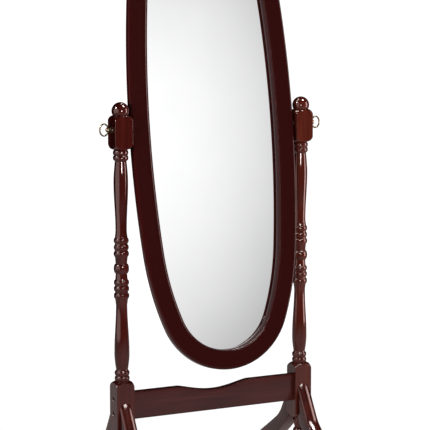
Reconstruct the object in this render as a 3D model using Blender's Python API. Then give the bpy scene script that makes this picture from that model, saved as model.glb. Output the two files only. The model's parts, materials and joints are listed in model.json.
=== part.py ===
"""Cheval floor mirror: an oval mirror that tilts between two turned posts.

Units are metres, +Z is up, +X runs from the left post to the right post and +Y
points to the back. The origin is on the floor, midway between the posts.
The mirror leans back by REST_TILT about the axis through both thumb screws.
"""

import math

import bmesh
import bpy
from mathutils import Matrix, Vector

# ---------------------------------------------------------------- main sizes
PIVOT_Z = 0.930          # height of the tilt axis over the floor
POST_SPACING = 0.5236    # from post axis to post axis
BLOCK = 0.049            # side of the square post stock
REST_TILT = math.radians(8.4)
TOUCH = 0.0003           # gap between pieces that touch
BORE_GAP = 0.0003        # radial gap between a shank or dowel and its hole

# Mirror frame: an oval ring, inset and depth are measured from its outer edge.
OVAL_HALF_WIDTH = 0.2345
OVAL_HALF_HEIGHT = 0.6330
OVAL_SIDE_R = 3.29       # radius of the long side arcs
OVAL_SIDE_TURN = math.radians(5.7)    # where the side arc meets the next one
OVAL_TIP_TURN = math.radians(21.4)    # where the arc of the tip takes over
OVAL_STEPS = (3, 4, 10)  # straight steps in each arc of a quarter
FRAME_HALF_DEPTH = 0.012
FRAME_OUTER_ROUND = 0.006
FRAME_ROUND_STEPS = 2
BEAD_STEPS = 4
FRAME_BACK_CHAMFER = 0.0035
FACE_INSET = 0.0469      # where the flat face ends at a fine groove
GROOVE = 0.0008          # width and depth of that groove
BEAD_R = 0.0013          # half-round bead between the groove and the inner wall
LIP_INSET = 0.0526       # innermost edge of the frame, at the foot of the inner wall
REBATE_INSET = 0.0390    # wall of the rebate that holds the glass
REBATE_Y = 0.0056        # the glass rests on this shelf
GLASS_THICK = 0.0030
GLASS_PLAY = 0.0005        # between the rebate's wall and the glass

# Posts, all heights are measured from the tilt axis.
FINIAL_Z = 0.0468
FINIAL_R = 0.0225
FINIAL_NECK_R = 0.0197
BLOCK_TOP = 0.0355
BLOCK_BOTTOM = -0.0505
FOOT_BLOCK_TOP = -0.6500
FOOT_BLOCK_BOTTOM = -0.7970
SHOULDER = 0.0145        # height of the turned shoulder at each end of a block
SHOULDER_R = 0.0192
SHOULDER_FULLNESS = 0.7  # 0 is a plain cone and 1 a quarter round
POST_SIDES = 12
EASED_EDGE = 0.0012

# Stretcher between the foot blocks.
STRETCHER_TOP = -0.6790
STRETCHER_BOTTOM = -0.7510
STRETCHER_THICK = 0.0200
SCOOP_DEPTH = 0.0163       # of the shallow dip in its top edge
SCOOP_HALF = 0.1040
SCOOP_STEPS = 14

# Legs.
LEG_THICK = 0.0360
LEG_TOP = -0.7050
LEG_REACH = 0.2600       # from the post axis to the toe
LEG_CROWN = 0.0100       # rise of the rounded upper side across its width
LEG_CROWN_STEPS = 6
LEG_UNDER_EDGE = 0.0020
GLIDE_THICK = 0.0030
GLIDE_R = 0.0100
GLIDE_Y = 0.2380

# Fasteners.
THUMB_R = 0.0030
PIVOT_BORE_R = 0.0034
BALL_R = 0.0070
BALL_OUT = 0.0094        # from the block's outer face to the ball's centre
NECK_R = 0.0045
RING_WIRE_R = 0.0021
RING_HALF_X = 0.0114     # half axes of the ring's wire centre line
RING_HALF_Z = 0.0149
WASHER_R = 0.0080
WASHER_THICK = 0.0015
WASHER_BORE_R = 0.0035
SPACER_R = 0.0075
INSERT_R = 0.0050
INSERT_LENGTH = 0.0150
THUMB_BITE = 0.0130      # how far the thumb screw reaches into the frame
BOLT_R = 0.0030
BOLT_HEAD_R = 0.0055
BOLT_HEAD_LENGTH = 0.0040
SOCKET_R = 0.0027        # of the hex socket, to its corners
SOCKET_DEPTH = 0.0025
COUNTERBORE = 0.0045
COUNTERBORE_R = 0.0060
BOLT_PAST_NUT = 0.0030      # from the far side of the nut to the bolt's tip
BOLT_HOLE_DEPTH = 0.0450    # of its hole in the end of the stretcher
TIP_CHAMFER = 0.0010        # length of the narrowed tip of a screw or bolt
BOLT_HEIGHTS = (-0.6945, -0.7335)
NUT_R = 0.0050
NUT_LENGTH = 0.0160
NUT_FROM_END = 0.0300
DOWEL_R = 0.0040
DOWEL_HALF = 0.0140
DOWEL_HEIGHTS = (-0.7480, -0.7740)
PLATE_SIDE_TURN = math.radians(5.0)   # where the side plates sit on the oval
PLATE_LENGTH = 0.0320
PLATE_WIDTH = 0.0140
PLATE_THICK = 0.0012
PLATE_CORNER = 0.0040
PLATE_SCREW_INSET = 0.0280
PLATE_INNER_INSET = 0.0520
PLATE_SCREW_R = 0.0015
PLATE_SCREW_LENGTH = 0.0110
PLATE_SCREW_POINT = 0.0030
PLATE_HEAD_R = 0.0034
PLATE_HEAD_LENGTH = 0.0018

HALF_BLOCK = BLOCK / 2
HALF_SPAN = POST_SPACING / 2
INNER_FACE = HALF_SPAN - HALF_BLOCK
OUTER_FACE = HALF_SPAN + HALF_BLOCK
SIDES = {"left": -1, "right": 1}
ENDS = {"front": -1, "rear": 1}

# Colours are linear RGB.
FINISHES = {
    "cherry_frame": ((0.040, 0.006, 0.004), 0.28, 0.0),
    "cherry_post": ((0.085, 0.014, 0.008), 0.22, 0.0),
    "cherry_rail": ((0.070, 0.016, 0.012), 0.30, 0.0),
    "cherry_leg": ((0.075, 0.015, 0.010), 0.24, 0.0),
    "silvered_glass": ((0.860, 0.870, 0.870), 0.03, 1.0),
    "hardboard": ((0.230, 0.130, 0.070), 0.75, 0.0),
    "antique_brass": ((0.270, 0.230, 0.170), 0.35, 1.0),
    "yellow_brass": ((0.560, 0.400, 0.160), 0.35, 1.0),
    "black_steel": ((0.030, 0.028, 0.028), 0.45, 1.0),
    "zinc_steel": ((0.520, 0.530, 0.540), 0.38, 1.0),
    "beech_dowel": ((0.560, 0.380, 0.220), 0.60, 0.0),
    "nylon": ((0.060, 0.045, 0.038), 0.50, 0.0),
}


# ------------------------------------------------------------------- helpers
def clear_scene():
    for obj in list(bpy.data.objects):
        bpy.data.objects.remove(obj, do_unlink=True)


def finish_material(name):
    material = bpy.data.materials.get(name)
    if material is None:
        colour, roughness, metallic = FINISHES[name]
        material = bpy.data.materials.new(name)
        material.use_nodes = True
        shader = material.node_tree.nodes["Principled BSDF"]
        shader.inputs["Base Color"].default_value = (*colour, 1.0)
        shader.inputs["Roughness"].default_value = roughness
        shader.inputs["Metallic"].default_value = metallic
    return material


def add_object(name, mesh_maker, finish=None, matrix=None, parent=None):
    """Makes the object NAME from a bmesh, in the axes of its parent."""
    mesh = bpy.data.meshes.new(name)
    bmesh.ops.recalc_face_normals(mesh_maker, faces=mesh_maker.faces)
    mesh_maker.to_mesh(mesh)
    mesh_maker.free()
    mesh.shade_smooth()
    mesh.set_sharp_from_angle(angle=math.radians(35))
    obj = bpy.data.objects.new(name, mesh)
    bpy.context.scene.collection.objects.link(obj)
    if finish:
        mesh.materials.append(finish_material(finish))
    if parent:
        obj.parent = parent
    if matrix:
        obj.matrix_local = matrix
    return obj


def add_cutter(name, mesh_maker, matrix=None, parent=None):
    cutter = add_object(name, mesh_maker, matrix=matrix, parent=parent)
    cutter.hide_render = True
    cutter.display_type = "WIRE"
    return cutter


def cut(target, cutter, operation="DIFFERENCE"):
    boolean = target.modifiers.new(cutter.name, "BOOLEAN")
    boolean.operation = operation
    boolean.solver = "EXACT"
    boolean.object = cutter


def turned(profile, sides):
    """A solid of revolution about Z from (z, r) pairs that run bottom to top."""
    maker = bmesh.new()
    rings = []
    for z, r in profile:
        ring = []
        for step in range(sides):
            angle = 2 * math.pi * (step + 0.5) / sides
            ring.append(maker.verts.new((r * math.cos(angle), r * math.sin(angle), z)))
        rings.append(ring)
    for low, high in zip(rings, rings[1:]):
        for step in range(sides):
            after = (step + 1) % sides
            maker.faces.new((low[step], low[after], high[after], high[step]))
    maker.faces.new(list(reversed(rings[0])))
    maker.faces.new(rings[-1])
    return maker


def cylinder(radius, start, end, sides):
    return turned([(start, radius), (end, radius)], sides)


def box(low, high):
    maker = bmesh.new()
    centre = (Vector(low) + Vector(high)) / 2
    size = Vector(high) - Vector(low)
    placed = Matrix.Translation(centre) @ Matrix.Diagonal((*size, 1.0))
    bmesh.ops.create_cube(maker, size=1.0, matrix=placed)
    return maker


def upright_edges(maker):
    return [e for e in maker.edges if abs(e.verts[0].co.z - e.verts[1].co.z) > TOUCH]


def sideways(side, x, y=0.0, z=0.0):
    """Stands local +Z along X, pointing away from the mirror on that side."""
    turn = Matrix.Rotation(side * math.pi / 2, 4, "Y")
    return Matrix.Translation((x, y, z)) @ turn


def along_y(x, y, z, direction=1):
    """Stands local +Z along Y, forwards or backwards."""
    turn = Matrix.Rotation(-direction * math.pi / 2, 4, "X")
    return Matrix.Translation((x, y, z)) @ turn


# ------------------------------------------------------------ the mirror oval
def oval_arcs():
    """The three arcs of a quarter oval: (radius, first turn, last turn).

    A turn is the angle of the outward normal, 0 at the side and 90 degrees at
    the tip. The last two radii are solved so that the arcs join smoothly and
    reach the oval's half width and half height.
    """
    a, b = OVAL_SIDE_TURN, OVAL_TIP_TURN
    width = OVAL_HALF_WIDTH - OVAL_SIDE_R * (1 - math.cos(a))
    height = OVAL_HALF_HEIGHT - OVAL_SIDE_R * math.sin(a)
    across = (math.cos(a) - math.cos(b), math.cos(b))
    upward = (math.sin(b) - math.sin(a), 1 - math.sin(b))
    scale = across[0] * upward[1] - across[1] * upward[0]
    middle = (width * upward[1] - across[1] * height) / scale
    tip = (across[0] * height - width * upward[0]) / scale
    return [(OVAL_SIDE_R, 0.0, a), (middle, a, b), (tip, b, math.pi / 2)]


def quarter_oval(inset):
    """Points and outward normals from the side to just short of the tip."""
    points = []
    at = Vector((OVAL_HALF_WIDTH, 0.0))
    for (radius, first, last), steps in zip(oval_arcs(), OVAL_STEPS):
        normal = Vector((math.cos(first), math.sin(first)))
        centre = at - normal * radius
        for step in range(steps):
            turn = first + (last - first) * step / steps
            normal = Vector((math.cos(turn), math.sin(turn)))
            points.append((centre + normal * (radius - inset), normal))
        at = centre + Vector((math.cos(last), math.sin(last))) * radius
    return points


def oval_ring(inset):
    """Points and normals all round the oval, moved in by INSET."""
    quarter = quarter_oval(inset)
    tip = (Vector((0.0, OVAL_HALF_HEIGHT - inset)), Vector((0.0, 1.0)))
    upper = quarter + [tip]
    upper += [(Vector((-p.x, p.y)), Vector((-n.x, n.y))) for p, n in reversed(quarter)]
    lower = [(-p, -n) for p, n in upper[1:-1]]
    return upper + lower


def oval_outline(inset):
    return [point for point, normal in oval_ring(inset)]


def oval_point(turn, inset):
    """The point whose outward normal is at the angle TURN, and that normal."""
    quarter_turn = math.acos(abs(math.cos(turn)))
    at = Vector((OVAL_HALF_WIDTH, 0.0))
    for radius, first, last in oval_arcs():
        centre = at - Vector((math.cos(first), math.sin(first))) * radius
        if quarter_turn <= last + 1e-9:
            break
        at = centre + Vector((math.cos(last), math.sin(last))) * radius
    normal = Vector((math.cos(quarter_turn), math.sin(quarter_turn)))
    point = centre + normal * (radius - inset)
    flip = Vector((math.copysign(1, math.cos(turn)), math.copysign(1, math.sin(turn))))
    return point * flip, normal * flip


def oval_plate(inset, front, back):
    outline = oval_outline(inset)
    maker = bmesh.new()
    layers = []
    for y in (front, back):
        layers.append([maker.verts.new((p.x, y, p.y)) for p in outline])
    bridge(maker, layers[0], layers[1])
    maker.faces.new(layers[0])
    maker.faces.new(list(reversed(layers[1])))
    return maker


def bridge(maker, first, second):
    count = len(first)
    for step in range(count):
        after = (step + 1) % count
        maker.faces.new((first[step], first[after], second[after], second[step]))


def frame_section():
    """The moulding's section as (inset, y), round the whole ring of timber."""
    front = -FRAME_HALF_DEPTH
    back = FRAME_HALF_DEPTH
    turns = [math.pi / 2 * step / FRAME_ROUND_STEPS for step in range(FRAME_ROUND_STEPS + 1)]
    section = []
    for turn in turns:
        depth = front + FRAME_OUTER_ROUND * (1 - math.sin(turn))
        section.append((FRAME_OUTER_ROUND * (1 - math.cos(turn)), depth))
    section.append((FACE_INSET, front))
    section.append((FACE_INSET + GROOVE / 2, front + GROOVE))
    crest = FACE_INSET + GROOVE + BEAD_R
    for step in range(BEAD_STEPS + 1):
        turn = math.pi * step / BEAD_STEPS
        depth = front + BEAD_R * (1 - math.sin(turn))
        section.append((crest - BEAD_R * math.cos(turn), depth))
    section.append((LIP_INSET, REBATE_Y))
    section.append((REBATE_INSET, REBATE_Y))
    section.append((REBATE_INSET, back))
    section.append((FRAME_BACK_CHAMFER, back))
    section.append((0.0, back - FRAME_BACK_CHAMFER))
    return section


def mirror_frame_mesh():
    maker = bmesh.new()
    rings = []
    for inset, y in frame_section():
        rings.append([maker.verts.new((p.x, y, p.y)) for p in oval_outline(inset)])
    for first, second in zip(rings, rings[1:] + rings[:1]):
        bridge(maker, first, second)
    return maker


# ------------------------------------------------------------ the turned post
def bead(middle, half, root, crest, steps=2):
    """A rounded bead: (z, r) pairs from its top to its bottom."""
    pairs = []
    for step in range(steps + 1):
        across = math.cos(math.pi * step / steps)
        rise = math.sqrt(max(0.0, 1 - across * across))
        pairs.append((middle + half * across, root + (crest - root) * rise))
    return pairs


def stretch(z_start, r_start, z_end, r_end, shape, steps):
    """A plain length between two radii; SHAPE says how the slope runs."""
    pairs = []
    for step in range(1, steps):
        t = step / steps
        if shape == "wave":
            share = (1 - math.cos(math.pi * t)) / 2
        elif shape == "swell":
            share = math.sin(math.pi / 2 * t)
        else:
            share = 1 - math.cos(math.pi / 2 * t)
        pairs.append((z_start + (z_end - z_start) * t, r_start + (r_end - r_start) * share))
    return pairs


def shoulder(z_edge, z_full, steps=3):
    """The rounded end of a square block, from its narrow edge to full size."""
    full = HALF_BLOCK * math.sqrt(2) + TOUCH
    pairs = []
    for step in range(steps + 1):
        angle = math.pi / 2 * step / steps
        along = 1 - math.cos(angle)
        # The slope lies between a quarter round and a plain cone.
        share = SHOULDER_FULLNESS * math.sin(angle) + (1 - SHOULDER_FULLNESS) * along
        z = z_edge + (z_full - z_edge) * along
        pairs.append((z, SHOULDER_R + (full - SHOULDER_R) * share))
    return pairs


def finial():
    """The ball on top of the post, from its crown down to the neck."""
    neck_angle = math.asin(FINIAL_NECK_R / FINIAL_R)
    lowest = math.pi - neck_angle
    first = math.radians(9)
    pairs = []
    steps = 7
    for step in range(steps + 1):
        angle = first + (lowest - first) * step / steps
        pairs.append((FINIAL_Z + FINIAL_R * math.cos(angle), FINIAL_R * math.sin(angle)))
    return pairs


def post_profile():
    """(z, r) pairs of the whole post, from the finial down to the pendant."""
    pairs = finial()
    pairs += shoulder(BLOCK_TOP, BLOCK_TOP - SHOULDER)
    pairs += reversed(shoulder(BLOCK_BOTTOM, BLOCK_BOTTOM + SHOULDER))
    pairs += bead(-0.0590, 0.0062, 0.0168, 0.0198)
    pairs += bead(-0.0722, 0.0062, 0.0168, 0.0198)
    pairs.append((-0.0815, 0.0150))
    pairs += stretch(-0.0815, 0.0150, -0.1360, 0.0186, "swell", 4)
    pairs.append((-0.1360, 0.0186))
    pairs += stretch(-0.1360, 0.0186, -0.2550, 0.0145, "wave", 5)
    pairs.append((-0.2550, 0.0145))
    pairs += stretch(-0.2550, 0.0145, -0.2770, 0.0166, "flare", 3)
    pairs += bead(-0.2836, 0.0066, 0.0164, 0.0193)
    pairs += bead(-0.3014, 0.0064, 0.0166, 0.0192)
    pairs += bead(-0.3180, 0.0068, 0.0168, 0.0197)
    pairs.append((-0.3290, 0.0161))
    pairs.append((-0.3420, 0.0150))
    pairs += bead(-0.3560, 0.0125, 0.0148, 0.0198, 4)
    pairs.append((-0.3720, 0.0151))
    pairs.append((-0.3825, 0.0158))
    pairs += bead(-0.3920, 0.0066, 0.0168, 0.0197)
    pairs += bead(-0.4080, 0.0066, 0.0170, 0.0198)
    pairs += bead(-0.4262, 0.0070, 0.0170, 0.0200)
    pairs.append((-0.4370, 0.0163))
    pairs.append((-0.4500, 0.0147))
    pairs += stretch(-0.4500, 0.0147, -0.5760, 0.0196, "wave", 5)
    pairs.append((-0.5760, 0.0196))
    pairs += stretch(-0.5760, 0.0196, -0.6180, 0.0155, "flare", 4)
    pairs.append((-0.6180, 0.0155))
    pairs += bead(-0.6275, 0.0060, 0.0168, 0.0194)
    pairs += bead(-0.6420, 0.0062, 0.0170, 0.0194)
    pairs += shoulder(FOOT_BLOCK_TOP, FOOT_BLOCK_TOP - SHOULDER)
    pairs += reversed(shoulder(FOOT_BLOCK_BOTTOM, FOOT_BLOCK_BOTTOM + SHOULDER))
    pairs.append((FOOT_BLOCK_BOTTOM - 0.0045, 0.0130))
    pairs += bead(FOOT_BLOCK_BOTTOM - 0.0125, 0.0060, 0.0135, 0.0174)
    pairs.append((FOOT_BLOCK_BOTTOM - 0.0290, 0.0118))
    pairs += bead(FOOT_BLOCK_BOTTOM - 0.0520, 0.0190, 0.0110, 0.0172, 4)
    pairs.append((FOOT_BLOCK_BOTTOM - 0.0735, 0.0060))
    return pairs


def square_stock(low, high):
    maker = box((-HALF_BLOCK, -HALF_BLOCK, low), (HALF_BLOCK, HALF_BLOCK, high))
    bmesh.ops.bevel(
        maker, geom=upright_edges(maker), offset=EASED_EDGE, segments=1, affect="EDGES"
    )
    return maker


def make_post(side_name, side, stand):
    x = side * HALF_SPAN
    profile = list(reversed(post_profile()))
    place = Matrix.Translation((x, 0, PIVOT_Z))
    name = "post_" + side_name
    post = add_object(name, turned(profile, POST_SIDES), "cherry_post", place, stand)
    stock = square_stock(-PIVOT_Z, FINIAL_Z + 2 * FINIAL_R)
    cut(post, add_cutter(name + "_stock", stock, place, stand), "INTERSECT")
    pivot_hole = cylinder(PIVOT_BORE_R, -BLOCK, BLOCK, 12)
    cut(post, add_cutter(name + "_pivot_hole", pivot_hole, sideways(side, x, 0, PIVOT_Z), stand))
    for row, height in zip(("upper", "lower"), BOLT_HEIGHTS):
        where = sideways(side, x, 0, PIVOT_Z + height)
        floor = HALF_BLOCK - COUNTERBORE
        step = [(-BLOCK, BOLT_R + BORE_GAP), (floor, BOLT_R + BORE_GAP)]
        step += [(floor, COUNTERBORE_R), (BLOCK, COUNTERBORE_R)]
        cut(post, add_cutter(f"{name}_bolt_hole_{row}", turned(step, 12), where, stand))
    for end_name, end in ENDS.items():
        for row, height in zip(("upper", "lower"), DOWEL_HEIGHTS):
            hole = cylinder(DOWEL_R + BORE_GAP, HALF_BLOCK - DOWEL_HALF - TOUCH, BLOCK, 10)
            where = along_y(x, 0, PIVOT_Z + height, end)
            cut(post, add_cutter(f"{name}_{end_name}_dowel_hole_{row}", hole, where, stand))
    return post


# --------------------------------------------------------- stretcher and legs
def stretcher_mesh():
    end = INNER_FACE - TOUCH
    half = STRETCHER_THICK / 2
    outline = [(-end, STRETCHER_BOTTOM), (end, STRETCHER_BOTTOM), (end, STRETCHER_TOP)]
    for step in range(SCOOP_STEPS + 1):
        across = 1 - 2 * step / SCOOP_STEPS
        x = SCOOP_HALF * across
        dip = SCOOP_DEPTH * (1 - across * across) ** 1.5
        outline.append((x, STRETCHER_TOP - dip))
    outline.append((-end, STRETCHER_TOP))
    maker = bmesh.new()
    front = [maker.verts.new((x, -half, z)) for x, z in outline]
    back = [maker.verts.new((x, half, z)) for x, z in outline]
    bridge(maker, front, back)
    maker.faces.new(front)
    maker.faces.new(list(reversed(back)))
    return maker


def make_stretcher(stand):
    place = Matrix.Translation((0, 0, PIVOT_Z))
    rail = add_object("stretcher", stretcher_mesh(), "cherry_rail", place, stand)
    for side_name, side in SIDES.items():
        for row, height in zip(("upper", "lower"), BOLT_HEIGHTS):
            label = f"stretcher_{side_name}_{row}"
            bore = cylinder(BOLT_R + BORE_GAP, 0, BOLT_HOLE_DEPTH + BLOCK, 12)
            where = sideways(side, side * (INNER_FACE - BOLT_HOLE_DEPTH), 0, PIVOT_Z + height)
            cut(rail, add_cutter(label + "_bore", bore, where, stand))
            pocket = cylinder(NUT_R + BORE_GAP, -NUT_LENGTH / 2 - TOUCH, STRETCHER_THICK, 12)
            x = side * (INNER_FACE - NUT_FROM_END)
            where = along_y(x, 0, PIVOT_Z + height, 1)
            cut(rail, add_cutter(label + "_pocket", pocket, where, stand))
    return rail


def smooth_path(points, steps):
    """A Catmull-Rom curve through the points, its ends included."""
    padded = [points[0], *points, points[-1]]
    path = []
    for before, start, end, after in zip(padded, padded[1:], padded[2:], padded[3:]):
        for step in range(steps):
            t = step / steps
            pair = []
            for a, b, c, d in zip(before, start, end, after):
                line = 2 * b + (c - a) * t
                curve = (2 * a - 5 * b + 4 * c - d) * t ** 2
                cubic = (3 * b - a - 3 * c + d) * t ** 3
                pair.append((line + curve + cubic) / 2)
            path.append(tuple(pair))
    path.append(points[-1])
    return path


def leg_stations():
    """Where the sections of a leg lie: (out, height) above and below, top to toe."""
    ground = GLIDE_THICK + TOUCH - PIVOT_Z
    face = HALF_BLOCK + TOUCH
    upper_and_lower = [
        ((face, LEG_TOP), (face, LEG_TOP)),
        ((0.0310, -0.7135), (face, -0.7150)),
        ((0.0385, -0.7255), (face, -0.7290)),
        ((0.0480, -0.7420), (face, -0.7480)),
        ((0.0690, -0.7785), (face, -0.7840)),
        ((0.0810, -0.7980), (face, FOOT_BLOCK_BOTTOM)),
        ((0.0980, -0.8145), (0.0400, -0.8180)),
        ((0.1190, -0.8285), (0.0640, -0.8400)),
        ((0.1560, -0.8520), (0.1080, -0.8735)),
        ((0.1940, -0.8760), (0.1560, -0.8965)),
        ((0.2230, -0.8940), (0.1950, -0.9150)),
        ((0.2420, -0.9040), (0.2200, ground)),
        ((0.2540, -0.9110), (0.2420, ground)),
        ((LEG_REACH, -0.9180), (LEG_REACH - 0.0050, ground)),
    ]
    path = smooth_path([(*upper, *lower) for upper, lower in upper_and_lower], 2)
    stations = []
    for out, height, inner_out, inner_height in path:
        lower = Vector((0, max(face, inner_out), max(ground, inner_height)))
        stations.append((Vector((0, out, height)), lower))
    return stations


def leg_section(upper, lower):
    """One section of a leg: a crowned upper side, straight flanks, flat below."""
    half = LEG_THICK / 2
    depth = (upper - lower).length
    if depth < TOUCH:
        return [upper] * (LEG_CROWN_STEPS + 5)
    down = (lower - upper) / depth
    widest = math.acos(max(0.0, 1 - depth / LEG_CROWN))
    edge = min(LEG_UNDER_EDGE, max(0.0, depth - LEG_CROWN) / 2)
    points = []
    for step in range(LEG_CROWN_STEPS + 1):
        angle = widest * (2 * step / LEG_CROWN_STEPS - 1)
        drop = down * (LEG_CROWN * (1 - math.cos(angle)))
        points.append(upper + drop + Vector((half * math.sin(angle), 0, 0)))
    reach = half * math.sin(widest)
    for x, rise in ((reach, edge), (reach - edge, 0), (edge - reach, 0), (-reach, edge)):
        points.append(lower - down * rise + Vector((x, 0, 0)))
    return points


def leg_mesh():
    """One leg, sweeping out along +Y from the rear face of a foot block."""
    maker = bmesh.new()
    rings = []
    for upper, lower in leg_stations():
        rings.append([maker.verts.new(point) for point in leg_section(upper, lower)])
    for first, second in zip(rings, rings[1:]):
        bridge(maker, first, second)
    maker.faces.new(rings[-1])
    bmesh.ops.remove_doubles(maker, verts=maker.verts, dist=TOUCH / 10)
    return maker


def make_legs(stand):
    for side_name, side in SIDES.items():
        for end_name, end in ENDS.items():
            name = f"leg_{side_name}_{end_name}"
            turn = Matrix.Rotation(0 if end > 0 else math.pi, 4, "Z")
            place = Matrix.Translation((side * HALF_SPAN, 0, PIVOT_Z)) @ turn
            leg = add_object(name, leg_mesh(), "cherry_leg", place, stand)
            for row, height in zip(("upper", "lower"), DOWEL_HEIGHTS):
                label = f"{side_name}_{end_name}_{row}"
                reach = HALF_BLOCK + DOWEL_HALF
                hole = cylinder(DOWEL_R + BORE_GAP, 0, reach + TOUCH, 10)
                where = along_y(side * HALF_SPAN, 0, PIVOT_Z + height, end)
                cut(leg, add_cutter("leg_dowel_hole_" + label, hole, where, stand))
                pin = cylinder(DOWEL_R, reach - 2 * DOWEL_HALF, reach, 10)
                add_object("leg_dowel_" + label, pin, "beech_dowel", where, stand)
            profile = [(0, GLIDE_R - TOUCH), (2 * TOUCH, GLIDE_R), (GLIDE_THICK, GLIDE_R)]
            glide = turned(profile, 14)
            where = Matrix.Translation((side * HALF_SPAN, end * GLIDE_Y, 0))
            add_object(f"foot_glide_{side_name}_{end_name}", glide, "nylon", where, stand)


# ----------------------------------------------------------------- the mirror
def make_mirror(mirror):
    ring = add_object("mirror_frame", mirror_frame_mesh(), "cherry_frame", parent=mirror)
    glass_front = REBATE_Y + TOUCH
    glass_back = glass_front + GLASS_THICK
    glass = oval_plate(REBATE_INSET + GLASS_PLAY, glass_front, glass_back)
    add_object("mirror_glass", glass, "silvered_glass", parent=mirror)
    board = oval_plate(REBATE_INSET + GLASS_PLAY, glass_back + TOUCH, FRAME_HALF_DEPTH - TOUCH)
    add_object("backing_board", board, "hardboard", parent=mirror)
    for side_name, side in SIDES.items():
        mouth = side * OVAL_HALF_WIDTH
        where = sideways(side, mouth)
        hole = cylinder(INSERT_R + BORE_GAP, -INSERT_LENGTH - TOUCH, INSERT_LENGTH, 14)
        cut(ring, add_cutter(f"frame_{side_name}_insert_hole", hole, where, mirror))
        body = cylinder(INSERT_R, -INSERT_LENGTH, -TOUCH, 14)
        name = "threaded_insert_" + side_name
        insert = add_object(name, body, "yellow_brass", where, mirror)
        bore = cylinder(THUMB_R + BORE_GAP, -INSERT_LENGTH * 2, INSERT_LENGTH, 12)
        cut(insert, add_cutter(name + "_bore", bore, where, mirror))
    make_back_plates(ring, mirror)


def make_back_plates(ring, mirror):
    """Flat plates screwed to the back of the frame, holding the board in."""
    back = FRAME_HALF_DEPTH
    half_turn = math.pi
    turns = [PLATE_SIDE_TURN, half_turn / 2, half_turn - PLATE_SIDE_TURN]
    turns += [turn + half_turn for turn in turns]
    for index, turn in enumerate(turns):
        screw_at, normal = oval_point(turn, PLATE_SCREW_INSET)
        angle = math.atan2(normal.y, normal.x)
        # Local +X points outwards in the mirror's plane and +Z out of its back.
        spin = Matrix.Rotation(-angle, 4, "Y") @ Matrix.Rotation(-math.pi / 2, 4, "X")
        where = Matrix.Translation((screw_at.x, back, screw_at.y)) @ spin
        inner = -(PLATE_INNER_INSET - PLATE_SCREW_INSET)
        low = (inner, -PLATE_WIDTH / 2, TOUCH)
        high = (inner + PLATE_LENGTH, PLATE_WIDTH / 2, TOUCH + PLATE_THICK)
        maker = box(low, high)
        bmesh.ops.bevel(
            maker, geom=upright_edges(maker), offset=PLATE_CORNER, segments=2, profile=0.5,
            affect="EDGES",
        )
        label = str(index + 1)
        plate = add_object("back_plate_" + label, maker, "zinc_steel", where, mirror)
        hole = cylinder(PLATE_SCREW_R + BORE_GAP, -PLATE_CORNER, PLATE_CORNER, 10)
        cut(plate, add_cutter("back_plate_hole_" + label, hole, where, mirror))
        pilot = cylinder(PLATE_SCREW_R + BORE_GAP, -PLATE_SCREW_LENGTH - TOUCH, PLATE_SCREW_LENGTH, 10)
        cut(ring, add_cutter("frame_pilot_" + label, pilot, where, mirror))
        head = 2 * TOUCH + PLATE_THICK
        screw = turned(
            [
                (-PLATE_SCREW_LENGTH, PLATE_SCREW_R * 0.4),
                (PLATE_SCREW_POINT - PLATE_SCREW_LENGTH, PLATE_SCREW_R),
                (head, PLATE_SCREW_R),
                (head, PLATE_HEAD_R),
                (head + PLATE_HEAD_LENGTH * 0.6, PLATE_HEAD_R * 0.9),
                (head + PLATE_HEAD_LENGTH, PLATE_HEAD_R * 0.5),
            ],
            10,
        )
        add_object("back_plate_screw_" + label, screw, "zinc_steel", where, mirror)


# --------------------------------------------------------------- thumb screws
def ring_mesh(centre):
    """The oval finger ring, in the plane of local X and Z."""
    around, across = 20, 6
    maker = bmesh.new()
    loops = []
    for step in range(around):
        angle = 2 * math.pi * step / around
        c, s = math.cos(angle), math.sin(angle)
        out = Vector((c / RING_HALF_Z, 0, s / RING_HALF_X)).normalized()
        middle = Vector((RING_HALF_Z * c, 0, centre + RING_HALF_X * s))
        loop = []
        for turn in range(across):
            around_wire = 2 * math.pi * turn / across
            reach = out * math.cos(around_wire) + Vector((0, 1, 0)) * math.sin(around_wire)
            loop.append(maker.verts.new(middle + reach * RING_WIRE_R))
        loops.append(loop)
    for first, second in zip(loops, loops[1:] + loops[:1]):
        bridge(maker, first, second)
    return maker


def ball_head(outer_face):
    """The screw's shank, neck and ball, from its tip outwards."""
    centre = outer_face + BALL_OUT
    seat = outer_face + 2 * TOUCH + WASHER_THICK
    tip = OVAL_HALF_WIDTH - THUMB_BITE
    profile = [(tip, THUMB_R * 0.7), (tip + TIP_CHAMFER, THUMB_R), (seat, THUMB_R)]
    joint = math.asin(NECK_R / BALL_R)
    profile.append((seat, NECK_R))
    steps = 6
    last = math.pi - math.radians(12)
    for step in range(steps + 1):
        angle = joint + (last - joint) * step / steps
        profile.append((centre - BALL_R * math.cos(angle), BALL_R * math.sin(angle)))
    return turned(profile, 12)


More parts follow.
